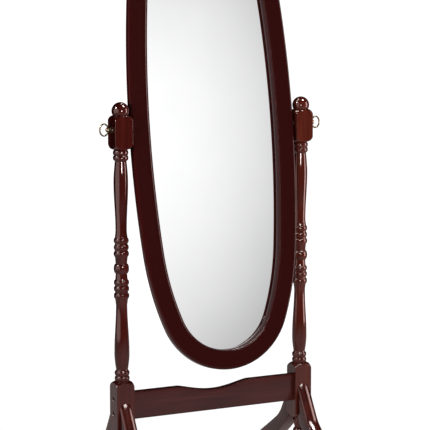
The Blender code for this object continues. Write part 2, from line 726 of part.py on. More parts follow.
def make_pivots(stand, washers, screws):
    for side_name, side in SIDES.items():
        axis = sideways(side, 0, 0, PIVOT_Z)
        gap = INNER_FACE - OVAL_HALF_WIDTH
        spacer_span = (OVAL_HALF_WIDTH + TOUCH, OVAL_HALF_WIDTH + gap - TOUCH)
        name = "spacer_" + side_name
        spacer = add_object(name, cylinder(SPACER_R, *spacer_span, 18), "nylon", axis, stand)
        bore = cylinder(WASHER_BORE_R, OVAL_HALF_WIDTH - gap, INNER_FACE + gap, 12)
        cut(spacer, add_cutter(name + "_bore", bore, axis, stand))

        name = "washer_" + side_name
        start = OUTER_FACE + TOUCH
        local = washers[side_name].matrix_world.inverted() @ axis
        disc = cylinder(WASHER_R, start, start + WASHER_THICK, 18)
        washer = add_object(name, disc, "antique_brass", local, washers[side_name])
        bore = cylinder(WASHER_BORE_R, OUTER_FACE - gap, OUTER_FACE + gap, 12)
        cut(washer, add_cutter(name + "_bore", bore, local, washers[side_name]))

        name = "thumb_screw_" + side_name
        local = screws[side_name].matrix_world.inverted() @ axis
        screw = add_object(name, ball_head(OUTER_FACE), "antique_brass", local, screws[side_name])
        centre = OUTER_FACE + BALL_OUT + RING_HALF_X
        ring = add_cutter(name + "_ring", ring_mesh(centre), local, screws[side_name])
        cut(screw, ring, "UNION")


def make_stretcher_fasteners(stand):
    for side_name, side in SIDES.items():
        for row, height in zip(("upper", "lower"), BOLT_HEIGHTS):
            label = f"{side_name}_{row}"
            where = sideways(side, 0, 0, PIVOT_Z + height)
            seat = OUTER_FACE - COUNTERBORE + TOUCH
            tip = INNER_FACE - NUT_FROM_END - NUT_R - BOLT_PAST_NUT
            profile = [(tip, BOLT_R * 0.8), (tip + TIP_CHAMFER, BOLT_R), (seat, BOLT_R)]
            profile += [(seat, BOLT_HEAD_R), (seat + BOLT_HEAD_LENGTH, BOLT_HEAD_R)]
            name = "stretcher_bolt_" + label
            bolt = add_object(name, turned(profile, 12), "black_steel", where, stand)
            top = seat + BOLT_HEAD_LENGTH
            socket = cylinder(SOCKET_R, top - SOCKET_DEPTH, top + SOCKET_DEPTH, 6)
            cut(bolt, add_cutter("bolt_socket_" + label, socket, where, stand))
            nut_at = INNER_FACE - NUT_FROM_END
            across = along_y(side * nut_at, 0, PIVOT_Z + height, 1)
            half = NUT_LENGTH / 2
            name = "barrel_nut_" + label
            nut = add_object(name, cylinder(NUT_R, -half, half, 12), "zinc_steel", across, stand)
            thread = cylinder(BOLT_R + BORE_GAP, nut_at - 2 * NUT_R, nut_at + 2 * NUT_R, 12)
            cut(nut, add_cutter("barrel_nut_thread_" + label, thread, where, stand))


# ------------------------------------------------------------------- assembly
def add_empty(name, location, tilt=0.0):
    empty = bpy.data.objects.new(name, None)
    bpy.context.scene.collection.objects.link(empty)
    empty.matrix_world = Matrix.Translation(location) @ Matrix.Rotation(tilt, 4, "X")
    return empty


def build():
    clear_scene()
    stand = add_empty("stand_root", (0, 0, 0))
    # A negative turn about +X takes the top of the mirror towards the back.
    mirror = add_empty("mirror_pivot", (0, 0, PIVOT_Z), -REST_TILT)
    washers = {}
    screws = {}
    for side_name, side in SIDES.items():
        at = (side * OUTER_FACE, 0, PIVOT_Z)
        washers[side_name] = add_empty("washer_axis_" + side_name, at)
        screws[side_name] = add_empty("thumb_screw_axis_" + side_name, at)
    bpy.context.view_layer.update()
    for side_name, side in SIDES.items():
        make_post(side_name, side, stand)
    make_stretcher(stand)
    make_legs(stand)
    make_stretcher_fasteners(stand)
    make_mirror(mirror)
    make_pivots(stand, washers, screws)


build()
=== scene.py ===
"""The looks of the cheval floor mirror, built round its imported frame.

Metres, +Z up, +X from the left post to the right one, +Y to the back. Heights of
the posts, legs and stretcher are measured from the tilt axis, as in the model.
"""

import json
import math

import bmesh
import bpy
import numpy as np
from mathutils import Matrix, Vector

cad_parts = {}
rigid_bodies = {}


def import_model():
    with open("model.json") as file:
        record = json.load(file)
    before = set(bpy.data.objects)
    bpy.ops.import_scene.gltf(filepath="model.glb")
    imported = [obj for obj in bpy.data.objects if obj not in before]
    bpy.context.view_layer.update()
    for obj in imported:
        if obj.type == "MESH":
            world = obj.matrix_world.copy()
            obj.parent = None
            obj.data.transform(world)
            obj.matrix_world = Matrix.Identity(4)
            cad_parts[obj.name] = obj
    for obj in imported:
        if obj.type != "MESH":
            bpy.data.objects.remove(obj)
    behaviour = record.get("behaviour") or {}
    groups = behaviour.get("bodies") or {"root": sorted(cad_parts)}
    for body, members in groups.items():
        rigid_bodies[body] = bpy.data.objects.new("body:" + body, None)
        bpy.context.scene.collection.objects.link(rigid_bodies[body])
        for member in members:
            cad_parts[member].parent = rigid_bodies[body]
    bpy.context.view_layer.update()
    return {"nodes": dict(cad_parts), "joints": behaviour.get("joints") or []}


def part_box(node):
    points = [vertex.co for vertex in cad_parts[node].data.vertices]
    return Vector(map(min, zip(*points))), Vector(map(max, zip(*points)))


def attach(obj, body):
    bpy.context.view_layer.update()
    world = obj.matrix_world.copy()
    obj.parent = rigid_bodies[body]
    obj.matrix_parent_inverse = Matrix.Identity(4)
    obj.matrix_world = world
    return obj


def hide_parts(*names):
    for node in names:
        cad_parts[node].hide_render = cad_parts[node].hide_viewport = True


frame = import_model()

# ---- what the frame gives
TILT_JOINT = next(joint for joint in frame["joints"] if joint["name"] == "mirror_tilt")
PIVOT = Vector(TILT_JOINT["pos_m"])
SIDES = {"left": -1, "right": 1}
ENDS = {"front": -1, "rear": 1}
ROWS = ("upper", "lower")


def middle(node):
    low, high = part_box(node)
    return (low + high) / 2


POST_LOW, POST_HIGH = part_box("post_right")
HALF_SPAN = middle("post_right").x
HALF_BLOCK = (POST_HIGH.x - POST_LOW.x) / 2
INNER_FACE = HALF_SPAN - HALF_BLOCK
OUTER_FACE = HALF_SPAN + HALF_BLOCK
FRAME_HALF_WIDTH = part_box("mirror_frame")[1].x

# ---- shape, as the model draws it
REST_TILT = math.radians(8.4)
TOUCH = 0.0003
OVAL_HALF_HEIGHT = 0.6329
OVAL_SIDE_R = 3.29
OVAL_SIDE_TURN = math.radians(5.7)
OVAL_TIP_TURN = math.radians(21.4)
OVAL_STEPS = (14, 20, 36)
FRAME_HALF_DEPTH = 0.012
FRAME_OUTER_ROUND = 0.006
FRAME_BACK_ROUND = 0.0035
FACE_INSET = 0.0469
GROOVE = 0.0008
BEAD_R = 0.0013
LIP_INSET = 0.0526
REBATE_INSET = 0.0390
REBATE_Y = 0.0056
PANE_INSET = REBATE_INSET + 0.0005
SILVER_DEPTH = 0.0010   # how deep the silvering seems to lie in the glass
GLASS_THICK = 0.0030
PLATE_TURN = math.radians(5.0)
PLATE_INSET = 0.0280
PLATE_THICK = 0.0015

FINIAL_Z = 0.0468
FINIAL_R = 0.0225
FINIAL_NECK_R = 0.0197
BLOCK_TOP = 0.0355
BLOCK_BOTTOM = -0.0505
FOOT_BLOCK_TOP = -0.6500
FOOT_BLOCK_BOTTOM = -0.7970
SHOULDER = 0.0145
SHOULDER_R = 0.0192
SHOULDER_FULLNESS = 0.7
EASED_EDGE = 0.0013
SCOOP_DEPTH = 0.0163
SCOOP_HALF = 0.1040
LEG_THICK = 0.0360
LEG_TOP = -0.7050
LEG_CROWN = 0.0100
DOWEL_HEIGHTS = (-0.7480, -0.7740)
DOWEL_HOLE_R = 0.0043
DOWEL_HOLE_DEPTH = 0.0143
BOLT_HEIGHTS = (-0.6945, -0.7335)
BOLT_HOLE_R = 0.0033
COUNTERBORE = 0.0045
COUNTERBORE_R = 0.0060
BOLT_HEAD_R = 0.0055
BOLT_HEAD_LENGTH = 0.0040
NUT_FROM_END = 0.0300
NUT_HALF = 0.0080
SHANK_R = 0.0030
SHANK_HOLE_R = 0.0034
THREAD_PITCH = 0.0010
WASHER_THICK = 0.0015
RING_WIRE = 0.0021
RING_HALF_OUT = 0.0114
RING_HALF_UP = 0.0149

# ---- stains, from dark to light grain, and two colours that paint light in
POST_DARK = (0.050, 0.0062, 0.0050)
POST_LIGHT = (0.118, 0.0160, 0.0118)
# The post stain made lighter for the right post: painted light, as more lamp light falls on that side.
RIGHT_POST_LIT_DARK = (0.080, 0.0125, 0.0080)
RIGHT_POST_LIT_LIGHT = (0.160, 0.0280, 0.0165)
RAIL_DARK = (0.044, 0.0085, 0.0085)
RAIL_LIGHT = (0.088, 0.0165, 0.0150)
LEG_DARK = (0.050, 0.0050, 0.0032)
LEG_LIGHT = (0.105, 0.0120, 0.0075)
FRAME_DARK = (0.016, 0.0018, 0.0020)
FRAME_LIGHT = (0.050, 0.0062, 0.0056)
# A cream tone painted along the crest of the frame's bead as its highlight.
BEAD_PAINTED_HIGHLIGHT = (0.16, 0.070, 0.055)

# ---- lamps and room
WARM = (1.0, 0.70, 0.66)
PALE = (1.0, 0.90, 0.88)
CREAM = (1.0, 0.84, 0.77)
WHITE = (1.0, 1.0, 1.0)
FLOOR_REACH = 80.0
FLOOR_DROP = 0.0002
FLOOR_GREY = (0.32, 0.32, 0.32, 1.0)
FLOOR_SEEN = (0.5, 4.0, 0.94, 1.08)    # from, to, strength near, strength far
FLOOR_LIT = (1.2, 4.5, 0.48, 0.0)
SKY_SEEN = 1.1
ROOM = 0.04
# The rear wall starts at the horizon and fades out sideways: aim, start, end, brightness.
REAR_WALL = (((0, 0, 1), 0.06, 0.11, 1.0), ((-0.17, 0.985, 0), 0.60, 0.85, 0.40))
ROOM_REACH = 7.0
ROOM_GLOW = 0.72
CARD_Y = -5.0
CARD_LEFT, CARD_RIGHT, CARD_FOOT, CARD_TOP = -0.4, 6.0, -1.0, 6.0
CARD_LEVEL = 1.11
CARD_DIMMEST = 0.45
CARD_BRIGHTEST = (2.01, CARD_Y, 1.89)
CARD_TURN = math.radians(21.6)
CARD_FADE = (1.59, 1.0, 2.10)
CAMERA_SWING = math.radians(26.879)
CAMERA_DIP = math.radians(7.317)
CAMERA_FROM_PIVOT = (-2.0645, -4.0856, 0.3544)
CAMERA_LENS = 147.90


# ---- mesh helpers
def look_of(node, maker, body, slot_name, crease, place=None, material=None):
    """Makes the piece that stands for the CAD node NODE and rides on BODY."""
    if place:
        bmesh.ops.transform(maker, matrix=place, verts=maker.verts)
    bmesh.ops.recalc_face_normals(maker, faces=maker.faces)
    mesh = bpy.data.meshes.new(node + "_look")
    maker.to_mesh(mesh)
    maker.free()
    mesh.shade_smooth()
    mesh.set_sharp_from_angle(angle=math.radians(crease))
    piece = bpy.data.objects.new(node + "_look", mesh)
    bpy.context.scene.collection.objects.link(piece)
    mesh.materials.append(material or MATERIALS[slot_name])
    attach(piece, body)
    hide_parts(node)
    return piece


def sweep(steps, whole=math.pi / 2):
    """Angles from nought to WHOLE in even steps."""
    return [whole * step / steps for step in range(steps + 1)]


def join_loops(maker, loops, around=False):
    """Faces from each loop of points to the next, and from the last to the first if AROUND."""
    following = loops[1:] + loops[:1] if around else loops[1:]
    for first, second in zip(loops, following):
        for step in range(len(first)):
            after = (step + 1) % len(first)
            maker.faces.new((first[step], first[after], second[after], second[step]))


def add_rings(maker, rings, closed_start=True):
    """Joins rings of points, each a closed loop of the same count, into a skin."""
    loops = [[maker.verts.new(point) for point in ring] for ring in rings]
    join_loops(maker, loops)
    if closed_start:
        maker.faces.new(list(reversed(loops[0])))
    maker.faces.new(loops[-1])


def turned(profile, sides=64, maker=None, place=Matrix.Identity(4)):
    """A solid of revolution about local Z from (z, r) pairs, bottom to top."""
    maker = maker or bmesh.new()
    rings = []
    for z, r in profile:
        around = sweep(sides, 2 * math.pi)[:-1]
        rings.append([place @ Vector((r * math.cos(a), r * math.sin(a), z)) for a in around])
    add_rings(maker, rings)
    return maker


def rounded(profile, radius=0.0004, steps=3):
    """The same outline with each inner corner point replaced by a small arc."""
    points = [Vector(pair) for pair in profile]
    result = [tuple(points[0])]
    for before, corner, after in zip(points, points[1:], points[2:]):
        back, forth = before - corner, after - corner
        reach = min(radius, back.length / 2.2, forth.length / 2.2)
        start = corner + back.normalized() * reach
        end = corner + forth.normalized() * reach
        for step in range(steps + 1):
            t = step / steps
            result.append(tuple(start * (1 - t) ** 2 + corner * 2 * t * (1 - t) + end * t ** 2))
    result.append(tuple(points[-1]))
    return result


def sideways(side, x, z=0.0):
    """Stands local +Z along X, pointing away from the mirror on that side."""
    turn = Matrix.Rotation(side * math.pi / 2, 4, "Y")
    return Matrix.Translation((x, 0, z)) @ turn


def along_y(x, z, direction=1):
    """Stands local +Z along Y, to the back or, with -1, to the front."""
    turn = Matrix.Rotation(-direction * math.pi / 2, 4, "X")
    return Matrix.Translation((x, 0, z)) @ turn


def combine(piece, maker, operation="DIFFERENCE"):
    """Cuts the shape in MAKER from the piece, or joins it on. The helper is removed."""
    bmesh.ops.recalc_face_normals(maker, faces=maker.faces)
    mesh = bpy.data.meshes.new("helper")
    maker.to_mesh(mesh)
    maker.free()
    helper = bpy.data.objects.new("helper", mesh)
    bpy.context.scene.collection.objects.link(helper)
    modifier = piece.modifiers.new("helper", "BOOLEAN")
    modifier.operation = operation
    modifier.solver = "EXACT"
    modifier.object = helper
    graph = bpy.context.evaluated_depsgraph_get()
    result = bpy.data.meshes.new_from_object(piece.evaluated_get(graph), depsgraph=graph)
    piece.modifiers.clear()
    piece.data = result
    bpy.data.objects.remove(helper)
    return piece


def bore(piece, drills):
    """Cuts round holes in one go: each drill is (profile, place)."""
    maker = bmesh.new()
    for profile, place in drills:
        turned(profile, 32, maker, place)
    return combine(piece, maker)


def bore_each(piece, drills):
    """Cuts crossing holes one after another, since one cutter may not cross itself."""
    for drill in drills:
        bore(piece, [drill])
    return piece


def smooth_path(points, steps):
    """A Catmull-Rom curve through the points, its ends included."""
    padded = [points[0], *points, points[-1]]
    path = []
    for a, b, c, d in zip(padded, padded[1:], padded[2:], padded[3:]):
        for t in [step / steps for step in range(steps)]:
            bend = (2 * a - 5 * b + 4 * c - d) * t ** 2 + (3 * b - a - 3 * c + d) * t ** 3
            path.append((2 * b + (c - a) * t + bend) / 2)
    return [*path, points[-1]]


# ---- node helpers
class Tree:
    """Adds nodes to a material or a world and links them."""

    def __init__(self, name, kind="materials"):
        self.owner = getattr(bpy.data, kind).new(name)
        self.owner.use_nodes = True
        self.nodes = self.owner.node_tree.nodes
        self.links = self.owner.node_tree.links
        self.shader = self.nodes.get("Principled BSDF")

    def put(self, socket, value):
        if isinstance(value, bpy.types.NodeSocket):
            self.links.new(value, socket)
        else:
            socket.default_value = value

    def add(self, kind, inputs=(), **settings):
        """Adds a node. INPUTS maps a socket's name or number to a value or an output."""
        node = self.nodes.new(kind)
        for key, value in settings.items():
            setattr(node, key, value)
        for key, value in dict(inputs).items():
            self.put(node.inputs[key], value)
        return node

    def set(self, **values):
        for key, value in values.items():
            self.put(self.shader.inputs[key.replace("_", " ")], value)

    def named(self, attribute):
        return self.add("ShaderNodeAttribute", attribute_name=attribute).outputs["Vector"]

    def coordinates(self, scale=(1, 1, 1), offset=(0, 0, 0), source=None):
        """The object's own coordinates, or the named attribute SOURCE, scaled and moved."""
        at = self.named(source) if source else self.add("ShaderNodeTexCoord").outputs["Object"]
        inputs = {"Vector": at, "Scale": scale, "Location": offset}
        return self.add("ShaderNodeMapping", inputs).outputs["Vector"]

    def noise(self, vector, scale, detail=4.0, roughness=0.55, distortion=0.0):
        inputs = {"Vector": vector, "Scale": scale, "Detail": detail}
        inputs |= {"Roughness": roughness, "Distortion": distortion}
        return self.add("ShaderNodeTexNoise", inputs).outputs["Fac"]

    def ramp(self, value, *stops):
        """A colour ramp; each stop is (position, colour or grey)."""
        node = self.add("ShaderNodeValToRGB", {0: value})
        elements = node.color_ramp.elements
        while len(elements) < len(stops):
            elements.new(1.0)
        for element, (position, colour) in zip(elements, stops):
            element.position = position
            if isinstance(colour, (int, float)):
                colour = (colour, colour, colour)
            element.color = (*colour, 1.0)
        return node.outputs["Color"]

    def mix(self, share, first, second, blend="MIX"):
        if isinstance(second, tuple):
            second = (*second, 1.0)
        inputs = {"Factor": share, 6: first, 7: second}
        return self.add("ShaderNodeMix", inputs, data_type="RGBA", blend_type=blend).outputs[2]

    def math(self, operation, first, second=0.0):
        return self.add("ShaderNodeMath", {0: first, 1: second}, operation=operation).outputs[0]

    def between(self, value, low, high):
        """Maps 0..1 to low..high."""
        inputs = {"Value": value, "To Min": low, "To Max": high}
        return self.add("ShaderNodeMapRange", inputs).outputs["Result"]

    def slope(self, value, start, end, low, high):
        """Maps START..END to LOW..HIGH, smoothly and clamped."""
        inputs = {"Value": value, "From Min": start, "From Max": end, "To Min": low, "To Max": high}
        node = self.add("ShaderNodeMapRange", inputs, interpolation_type="SMOOTHSTEP")
        return node.outputs["Result"]

    def bump(self, height, strength, distance, normal=None):
        inputs = {"Strength": strength, "Distance": distance, "Height": height}
        if normal is not None:
            inputs["Normal"] = normal
        return self.add("ShaderNodeBump", inputs).outputs["Normal"]

    def glow(self, strength, colour=WHITE):
        return self.add("ShaderNodeEmission", {"Strength": strength, "Color": (*colour, 1)}).outputs[0]

    def surface(self, seen, lit=None, end="Material Output"):
        """Shows SEEN to the camera and, if it is given, LIT to every other ray."""
        if lit:
            path = self.add("ShaderNodeLightPath").outputs["Is Camera Ray"]
            seen = self.add("ShaderNodeMixShader", {0: path, 1: lit, 2: seen}).outputs[0]
        self.links.new(seen, self.nodes[end].inputs["Surface"])
        return self.owner


GRAIN_AXES = {
    "x": ((1.0, 16.0, 16.0), (2.0, 60.0, 60.0)),
    "y": ((16.0, 1.0, 16.0), (60.0, 2.0, 60.0)),
    "z": ((16.0, 16.0, 1.0), (60.0, 60.0, 2.0)),
}


def lacquered_cherry(name, dark, light, grain, seed, gloss=0.055, level=0.5, source=None):
    """Red-brown stained cherry under lacquer, its grain running along one axis."""
    tree = Tree(name)
    figure_scale, pore_scale = GRAIN_AXES[grain]
    figure_at = tree.coordinates(figure_scale, (seed, seed * 1.7, seed * 0.6), source)
    pores_at = tree.coordinates(pore_scale, (seed * 2.1, seed, seed * 1.3), source)
    figure = tree.noise(figure_at, 2.2, 5.0, 0.6, 0.7)
    fibres = tree.noise(pores_at, 9.0, 3.0, 0.7)
    cloud = tree.noise(tree.coordinates((1, 1, 1), (seed, seed, seed), source), 5.0, 2.0)
    tone = tree.ramp(figure, (0.34, dark), (0.66, light))
    streaks = tree.ramp(fibres, (0.38, 0.72), (0.60, 1.0))
    tone = tree.mix(0.55, tone, streaks, "MULTIPLY")
    patches = tree.ramp(cloud, (0.35, 0.86), (0.65, 1.10))
    tone = tree.mix(0.8, tone, patches, "MULTIPLY")
    if source:
        # Painted highlight: the base colour turns cream along the crest of the bead, where the lamp
        # above gleams on it.
        inset = tree.add("ShaderNodeSeparateXYZ", {0: tree.named(source)}).outputs["Y"]
        crest = FACE_INSET + GROOVE + BEAD_R * 0.8
        off = tree.math("ABSOLUTE", tree.math("SUBTRACT", inset, crest))
        tone = tree.mix(tree.slope(off, 0.0003, 0.0009, 0.8, 0.0), tone, BEAD_PAINTED_HIGHLIGHT)
    tree.set(Base_Color=tone)
    tree.set(Roughness=tree.between(fibres, gloss * 0.8, gloss * 1.35))
    grain_height = tree.ramp(fibres, (0.36, 0.0), (0.52, 1.0))
    ripple = tree.noise(tree.coordinates((1, 1, 1), (seed, 0, 0), source), 90.0, 2.0)
    normal = tree.bump(grain_height, 0.10, 0.0002)
    normal = tree.bump(ripple, 0.06, 0.0006, normal)
    tree.set(Normal=normal, Specular_IOR_Level=level, IOR=1.5)
    return tree.owner


def aged_brass(name, dark, light, polish=0.24):
    """Brass that has darkened, brighter where hands rub it."""
    tree = Tree(name)
    at = tree.coordinates()
    tarnish = tree.noise(at, 160.0, 5.0, 0.65)
    specks = tree.noise(at, 900.0, 2.0, 0.5)
    tone = tree.ramp(tarnish, (0.36, dark), (0.62, light))
    tone = tree.mix(0.35, tone, tree.ramp(specks, (0.35, 0.55), (0.62, 1.0)), "MULTIPLY")
    tree.set(Base_Color=tone, Metallic=1.0)
    tree.set(Roughness=tree.between(tarnish, polish + 0.14, polish - 0.06))
    tree.set(Normal=tree.bump(specks, 0.12, 0.0001))
    return tree.owner


def plated_steel(name, dark, light, polish):
    """Zinc plate or black oxide: fine mottling and turning marks."""
    tree = Tree(name)
    at = tree.coordinates()
    mottle = tree.noise(at, 300.0, 4.0, 0.6)
    marks = tree.noise(tree.coordinates((1, 30, 1)), 260.0, 2.0)
    tree.set(Base_Color=tree.ramp(mottle, (0.35, dark), (0.65, light)), Metallic=1.0)
    tree.set(Roughness=tree.between(marks, polish - 0.08, polish + 0.12))
    tree.set(Normal=tree.bump(marks, 0.08, 0.0001))
    return tree.owner


def silvered_glass():
    """The silvering seen through clear glass, with a trace of haze."""
    tree = Tree("silvered_glass")
    at = tree.coordinates()
    haze = tree.noise(at, 7.0, 3.0, 0.5)
    tone = tree.ramp(haze, (0.30, (0.913, 0.915, 0.919)), (0.70, (0.938, 0.939, 0.943)))
    tree.set(Base_Color=tone, Metallic=1.0)
    tree.set(Roughness=tree.between(haze, 0.0, 0.018))
    return tree.owner


def glass_edge():
    """The green-grey sawn edge of float glass."""
    tree = Tree("glass_edge")
    frost = tree.noise(tree.coordinates((60, 60, 400)), 8.0, 3.0)
    tree.set(Base_Color=tree.ramp(frost, (0.3, (0.16, 0.30, 0.26)), (0.7, (0.42, 0.58, 0.53))))
    tree.set(Roughness=tree.between(frost, 0.25, 0.5))
    return tree.owner


def hardboard():
    """Brown hardboard: pressed fibres in every direction, slightly mottled."""
    tree = Tree("hardboard")
    at = tree.coordinates()
    fibres = tree.noise(tree.coordinates((1, 1, 0.35)), 420.0, 4.0, 0.7, 1.5)
    blotches = tree.noise(at, 9.0, 4.0, 0.6)
    weave = tree.noise(tree.coordinates((0.4, 1, 1)), 700.0, 2.0)
    tone = tree.ramp(blotches, (0.3, (0.115, 0.066, 0.034)), (0.7, (0.190, 0.115, 0.062)))
    tone = tree.mix(0.6, tone, tree.ramp(fibres, (0.35, 0.62), (0.62, 1.12)), "MULTIPLY")
    tree.set(Base_Color=tone)
    tree.set(Roughness=tree.between(fibres, 0.62, 0.85))
    normal = tree.bump(fibres, 0.35, 0.0003)
    tree.set(Normal=tree.bump(weave, 0.2, 0.0002, normal))
    return tree.owner


def moulded_nylon():
    tree = Tree("moulded_nylon")
    grain = tree.noise(tree.coordinates(), 1500.0, 3.0, 0.6)
    cloud = tree.noise(tree.coordinates(), 120.0, 2.0)
    tree.set(Base_Color=tree.ramp(cloud, (0.3, (0.022, 0.017, 0.015)), (0.7, (0.036, 0.028, 0.024))))
    tree.set(Roughness=tree.between(grain, 0.38, 0.55))
    tree.set(Normal=tree.bump(grain, 0.15, 0.0001))
    return tree.owner


def raw_beech():
    tree = Tree("raw_beech")
    flecks = tree.noise(tree.coordinates((120, 6, 120)), 6.0, 3.0, 0.6)
    tree.set(Base_Color=tree.ramp(flecks, (0.35, (0.36, 0.22, 0.12)), (0.65, (0.56, 0.38, 0.23))))
    tree.set(Roughness=tree.between(flecks, 0.5, 0.7))
    tree.set(Normal=tree.bump(flecks, 0.2, 0.0002))
    return tree.owner


MATERIALS = {
    "cherry_frame": lacquered_cherry(
        "cherry_frame_look", FRAME_DARK, FRAME_LIGHT, "x", 3.1, 0.07, 0.24, "grain"
    ),
    "post_left": lacquered_cherry("cherry_post_left_look", POST_DARK, POST_LIGHT, "z", 1.3),
    # The right post takes the lighter pair, painting in the light that falls more on that side.
    "post_right": lacquered_cherry("cherry_post_right_look", RIGHT_POST_LIT_DARK, RIGHT_POST_LIT_LIGHT, "z", 7.9),
    "cherry_rail": lacquered_cherry("cherry_rail_look", RAIL_DARK, RAIL_LIGHT, "x", 5.2, 0.16),
    "antique_brass": aged_brass("antique_brass_look", (0.10, 0.085, 0.055), (0.36, 0.31, 0.22)),
    "yellow_brass": aged_brass("yellow_brass_look", (0.42, 0.28, 0.10), (0.66, 0.48, 0.20), 0.30),
    "black_steel": plated_steel("black_steel_look", (0.010, 0.010, 0.011), (0.045, 0.043, 0.045), 0.42),
    "zinc_steel": plated_steel("zinc_steel_look", (0.42, 0.43, 0.44), (0.62, 0.63, 0.64), 0.32),
    "silvered_glass": silvered_glass(),
    "glass_edge": glass_edge(),
    "hardboard": hardboard(),
    "nylon": moulded_nylon(),
    "beech_dowel": raw_beech(),
}


# ---- posts
def bead(middle_z, half, root, crest, steps=18):
    """A half-round ring on the turning, from its upper edge to its lower one."""
    pairs = []
    for angle in sweep(steps, math.pi):
        across = math.cos(angle)
        rise = math.sqrt(max(0.0, 1 - across * across))
        pairs.append((middle_z + half * across, root + (crest - root) * rise))
    return pairs


def run_to(pairs, z_end, r_end, shape, steps=16):
    """Goes on down the turning in a double wave, a swell that levels off, or a flare."""
    z_start, r_start = pairs[-1]
    for step in range(1, steps + 1):
        t = step / steps
        if shape == "wave":
            share = (1 - math.cos(math.pi * t)) / 2
        elif shape == "swell":
            share = math.sin(math.pi / 2 * t)
        else:
            share = 1 - math.cos(math.pi / 2 * t)
        pairs.append((z_start + (z_end - z_start) * t, r_start + (r_end - r_start) * share))


def shoulder(z_edge, z_full, steps=26):
    """The rounded shoulder where the turning meets a square block."""
    full = HALF_BLOCK * math.sqrt(2) + TOUCH
    pairs = []
    for angle in sweep(steps):
        along = 1 - math.cos(angle)
        share = SHOULDER_FULLNESS * math.sin(angle) + (1 - SHOULDER_FULLNESS) * along
        pairs.append((z_edge + (z_full - z_edge) * along, SHOULDER_R + (full - SHOULDER_R) * share))
    return pairs


def finial(steps=34):
    neck_angle = math.asin(FINIAL_NECK_R / FINIAL_R)
    first = math.radians(2)
    pairs = []
    for angle in sweep(steps, math.pi - neck_angle - first):
        angle += first
        pairs.append((FINIAL_Z + FINIAL_R * math.cos(angle), FINIAL_R * math.sin(angle)))
    return pairs


def post_profile():
    """(z, r) pairs of the turning, from the finial down to the pendant."""
    pairs = finial()
    pairs += shoulder(BLOCK_TOP, BLOCK_TOP - SHOULDER)
    pairs += reversed(shoulder(BLOCK_BOTTOM, BLOCK_BOTTOM + SHOULDER))
    pairs += bead(-0.0590, 0.0062, 0.0168, 0.0198)
    pairs += bead(-0.0722, 0.0062, 0.0168, 0.0198)
    pairs.append((-0.0815, 0.0150))
    run_to(pairs, -0.1360, 0.0186, "swell")
    run_to(pairs, -0.2550, 0.0145, "wave")
    run_to(pairs, -0.2770, 0.0166, "flare")
    pairs.pop()
    pairs += bead(-0.2836, 0.0066, 0.0164, 0.0193)
    pairs += bead(-0.3014, 0.0064, 0.0166, 0.0192)
    pairs += bead(-0.3180, 0.0068, 0.0168, 0.0197)
    pairs += [(-0.3290, 0.0161), (-0.3420, 0.0150)]
    pairs += bead(-0.3560, 0.0125, 0.0148, 0.0198, 24)
    pairs += [(-0.3720, 0.0151), (-0.3825, 0.0158)]
    pairs += bead(-0.3920, 0.0066, 0.0168, 0.0197)
    pairs += bead(-0.4080, 0.0066, 0.0170, 0.0198)
    pairs += bead(-0.4262, 0.0070, 0.0170, 0.0200)
    pairs += [(-0.4370, 0.0163), (-0.4500, 0.0147)]
    run_to(pairs, -0.5760, 0.0196, "wave")
    run_to(pairs, -0.6180, 0.0155, "flare")
    pairs += bead(-0.6275, 0.0060, 0.0168, 0.0194)
    pairs += bead(-0.6420, 0.0062, 0.0170, 0.0194)
    pairs += shoulder(FOOT_BLOCK_TOP, FOOT_BLOCK_TOP - SHOULDER)
    pairs += reversed(shoulder(FOOT_BLOCK_BOTTOM, FOOT_BLOCK_BOTTOM + SHOULDER))
    pairs.append((FOOT_BLOCK_BOTTOM - 0.0045, 0.0130))
    pairs += bead(FOOT_BLOCK_BOTTOM - 0.0125, 0.0060, 0.0135, 0.0174)
    run_to(pairs, FOOT_BLOCK_BOTTOM - 0.0290, 0.0118, "flare", 6)
    pairs += bead(FOOT_BLOCK_BOTTOM - 0.0520, 0.0190, 0.0110, 0.0172, 30)
    pairs += [(FOOT_BLOCK_BOTTOM - 0.0728, 0.0070), (FOOT_BLOCK_BOTTOM - 0.0735, 0.0058)]
    return pairs


def square_reach(from_face):
    """How far the rounded square reaches at an angle from the normal of its face."""
    straight = HALF_BLOCK - EASED_EDGE
    if HALF_BLOCK * math.tan(from_face) <= straight:
        return HALF_BLOCK / math.cos(from_face)
    along = straight * (math.cos(from_face) + math.sin(from_face))
    off = straight * (math.sin(from_face) - math.cos(from_face))
    return along + math.sqrt(max(0.0, EASED_EDGE ** 2 - off ** 2))


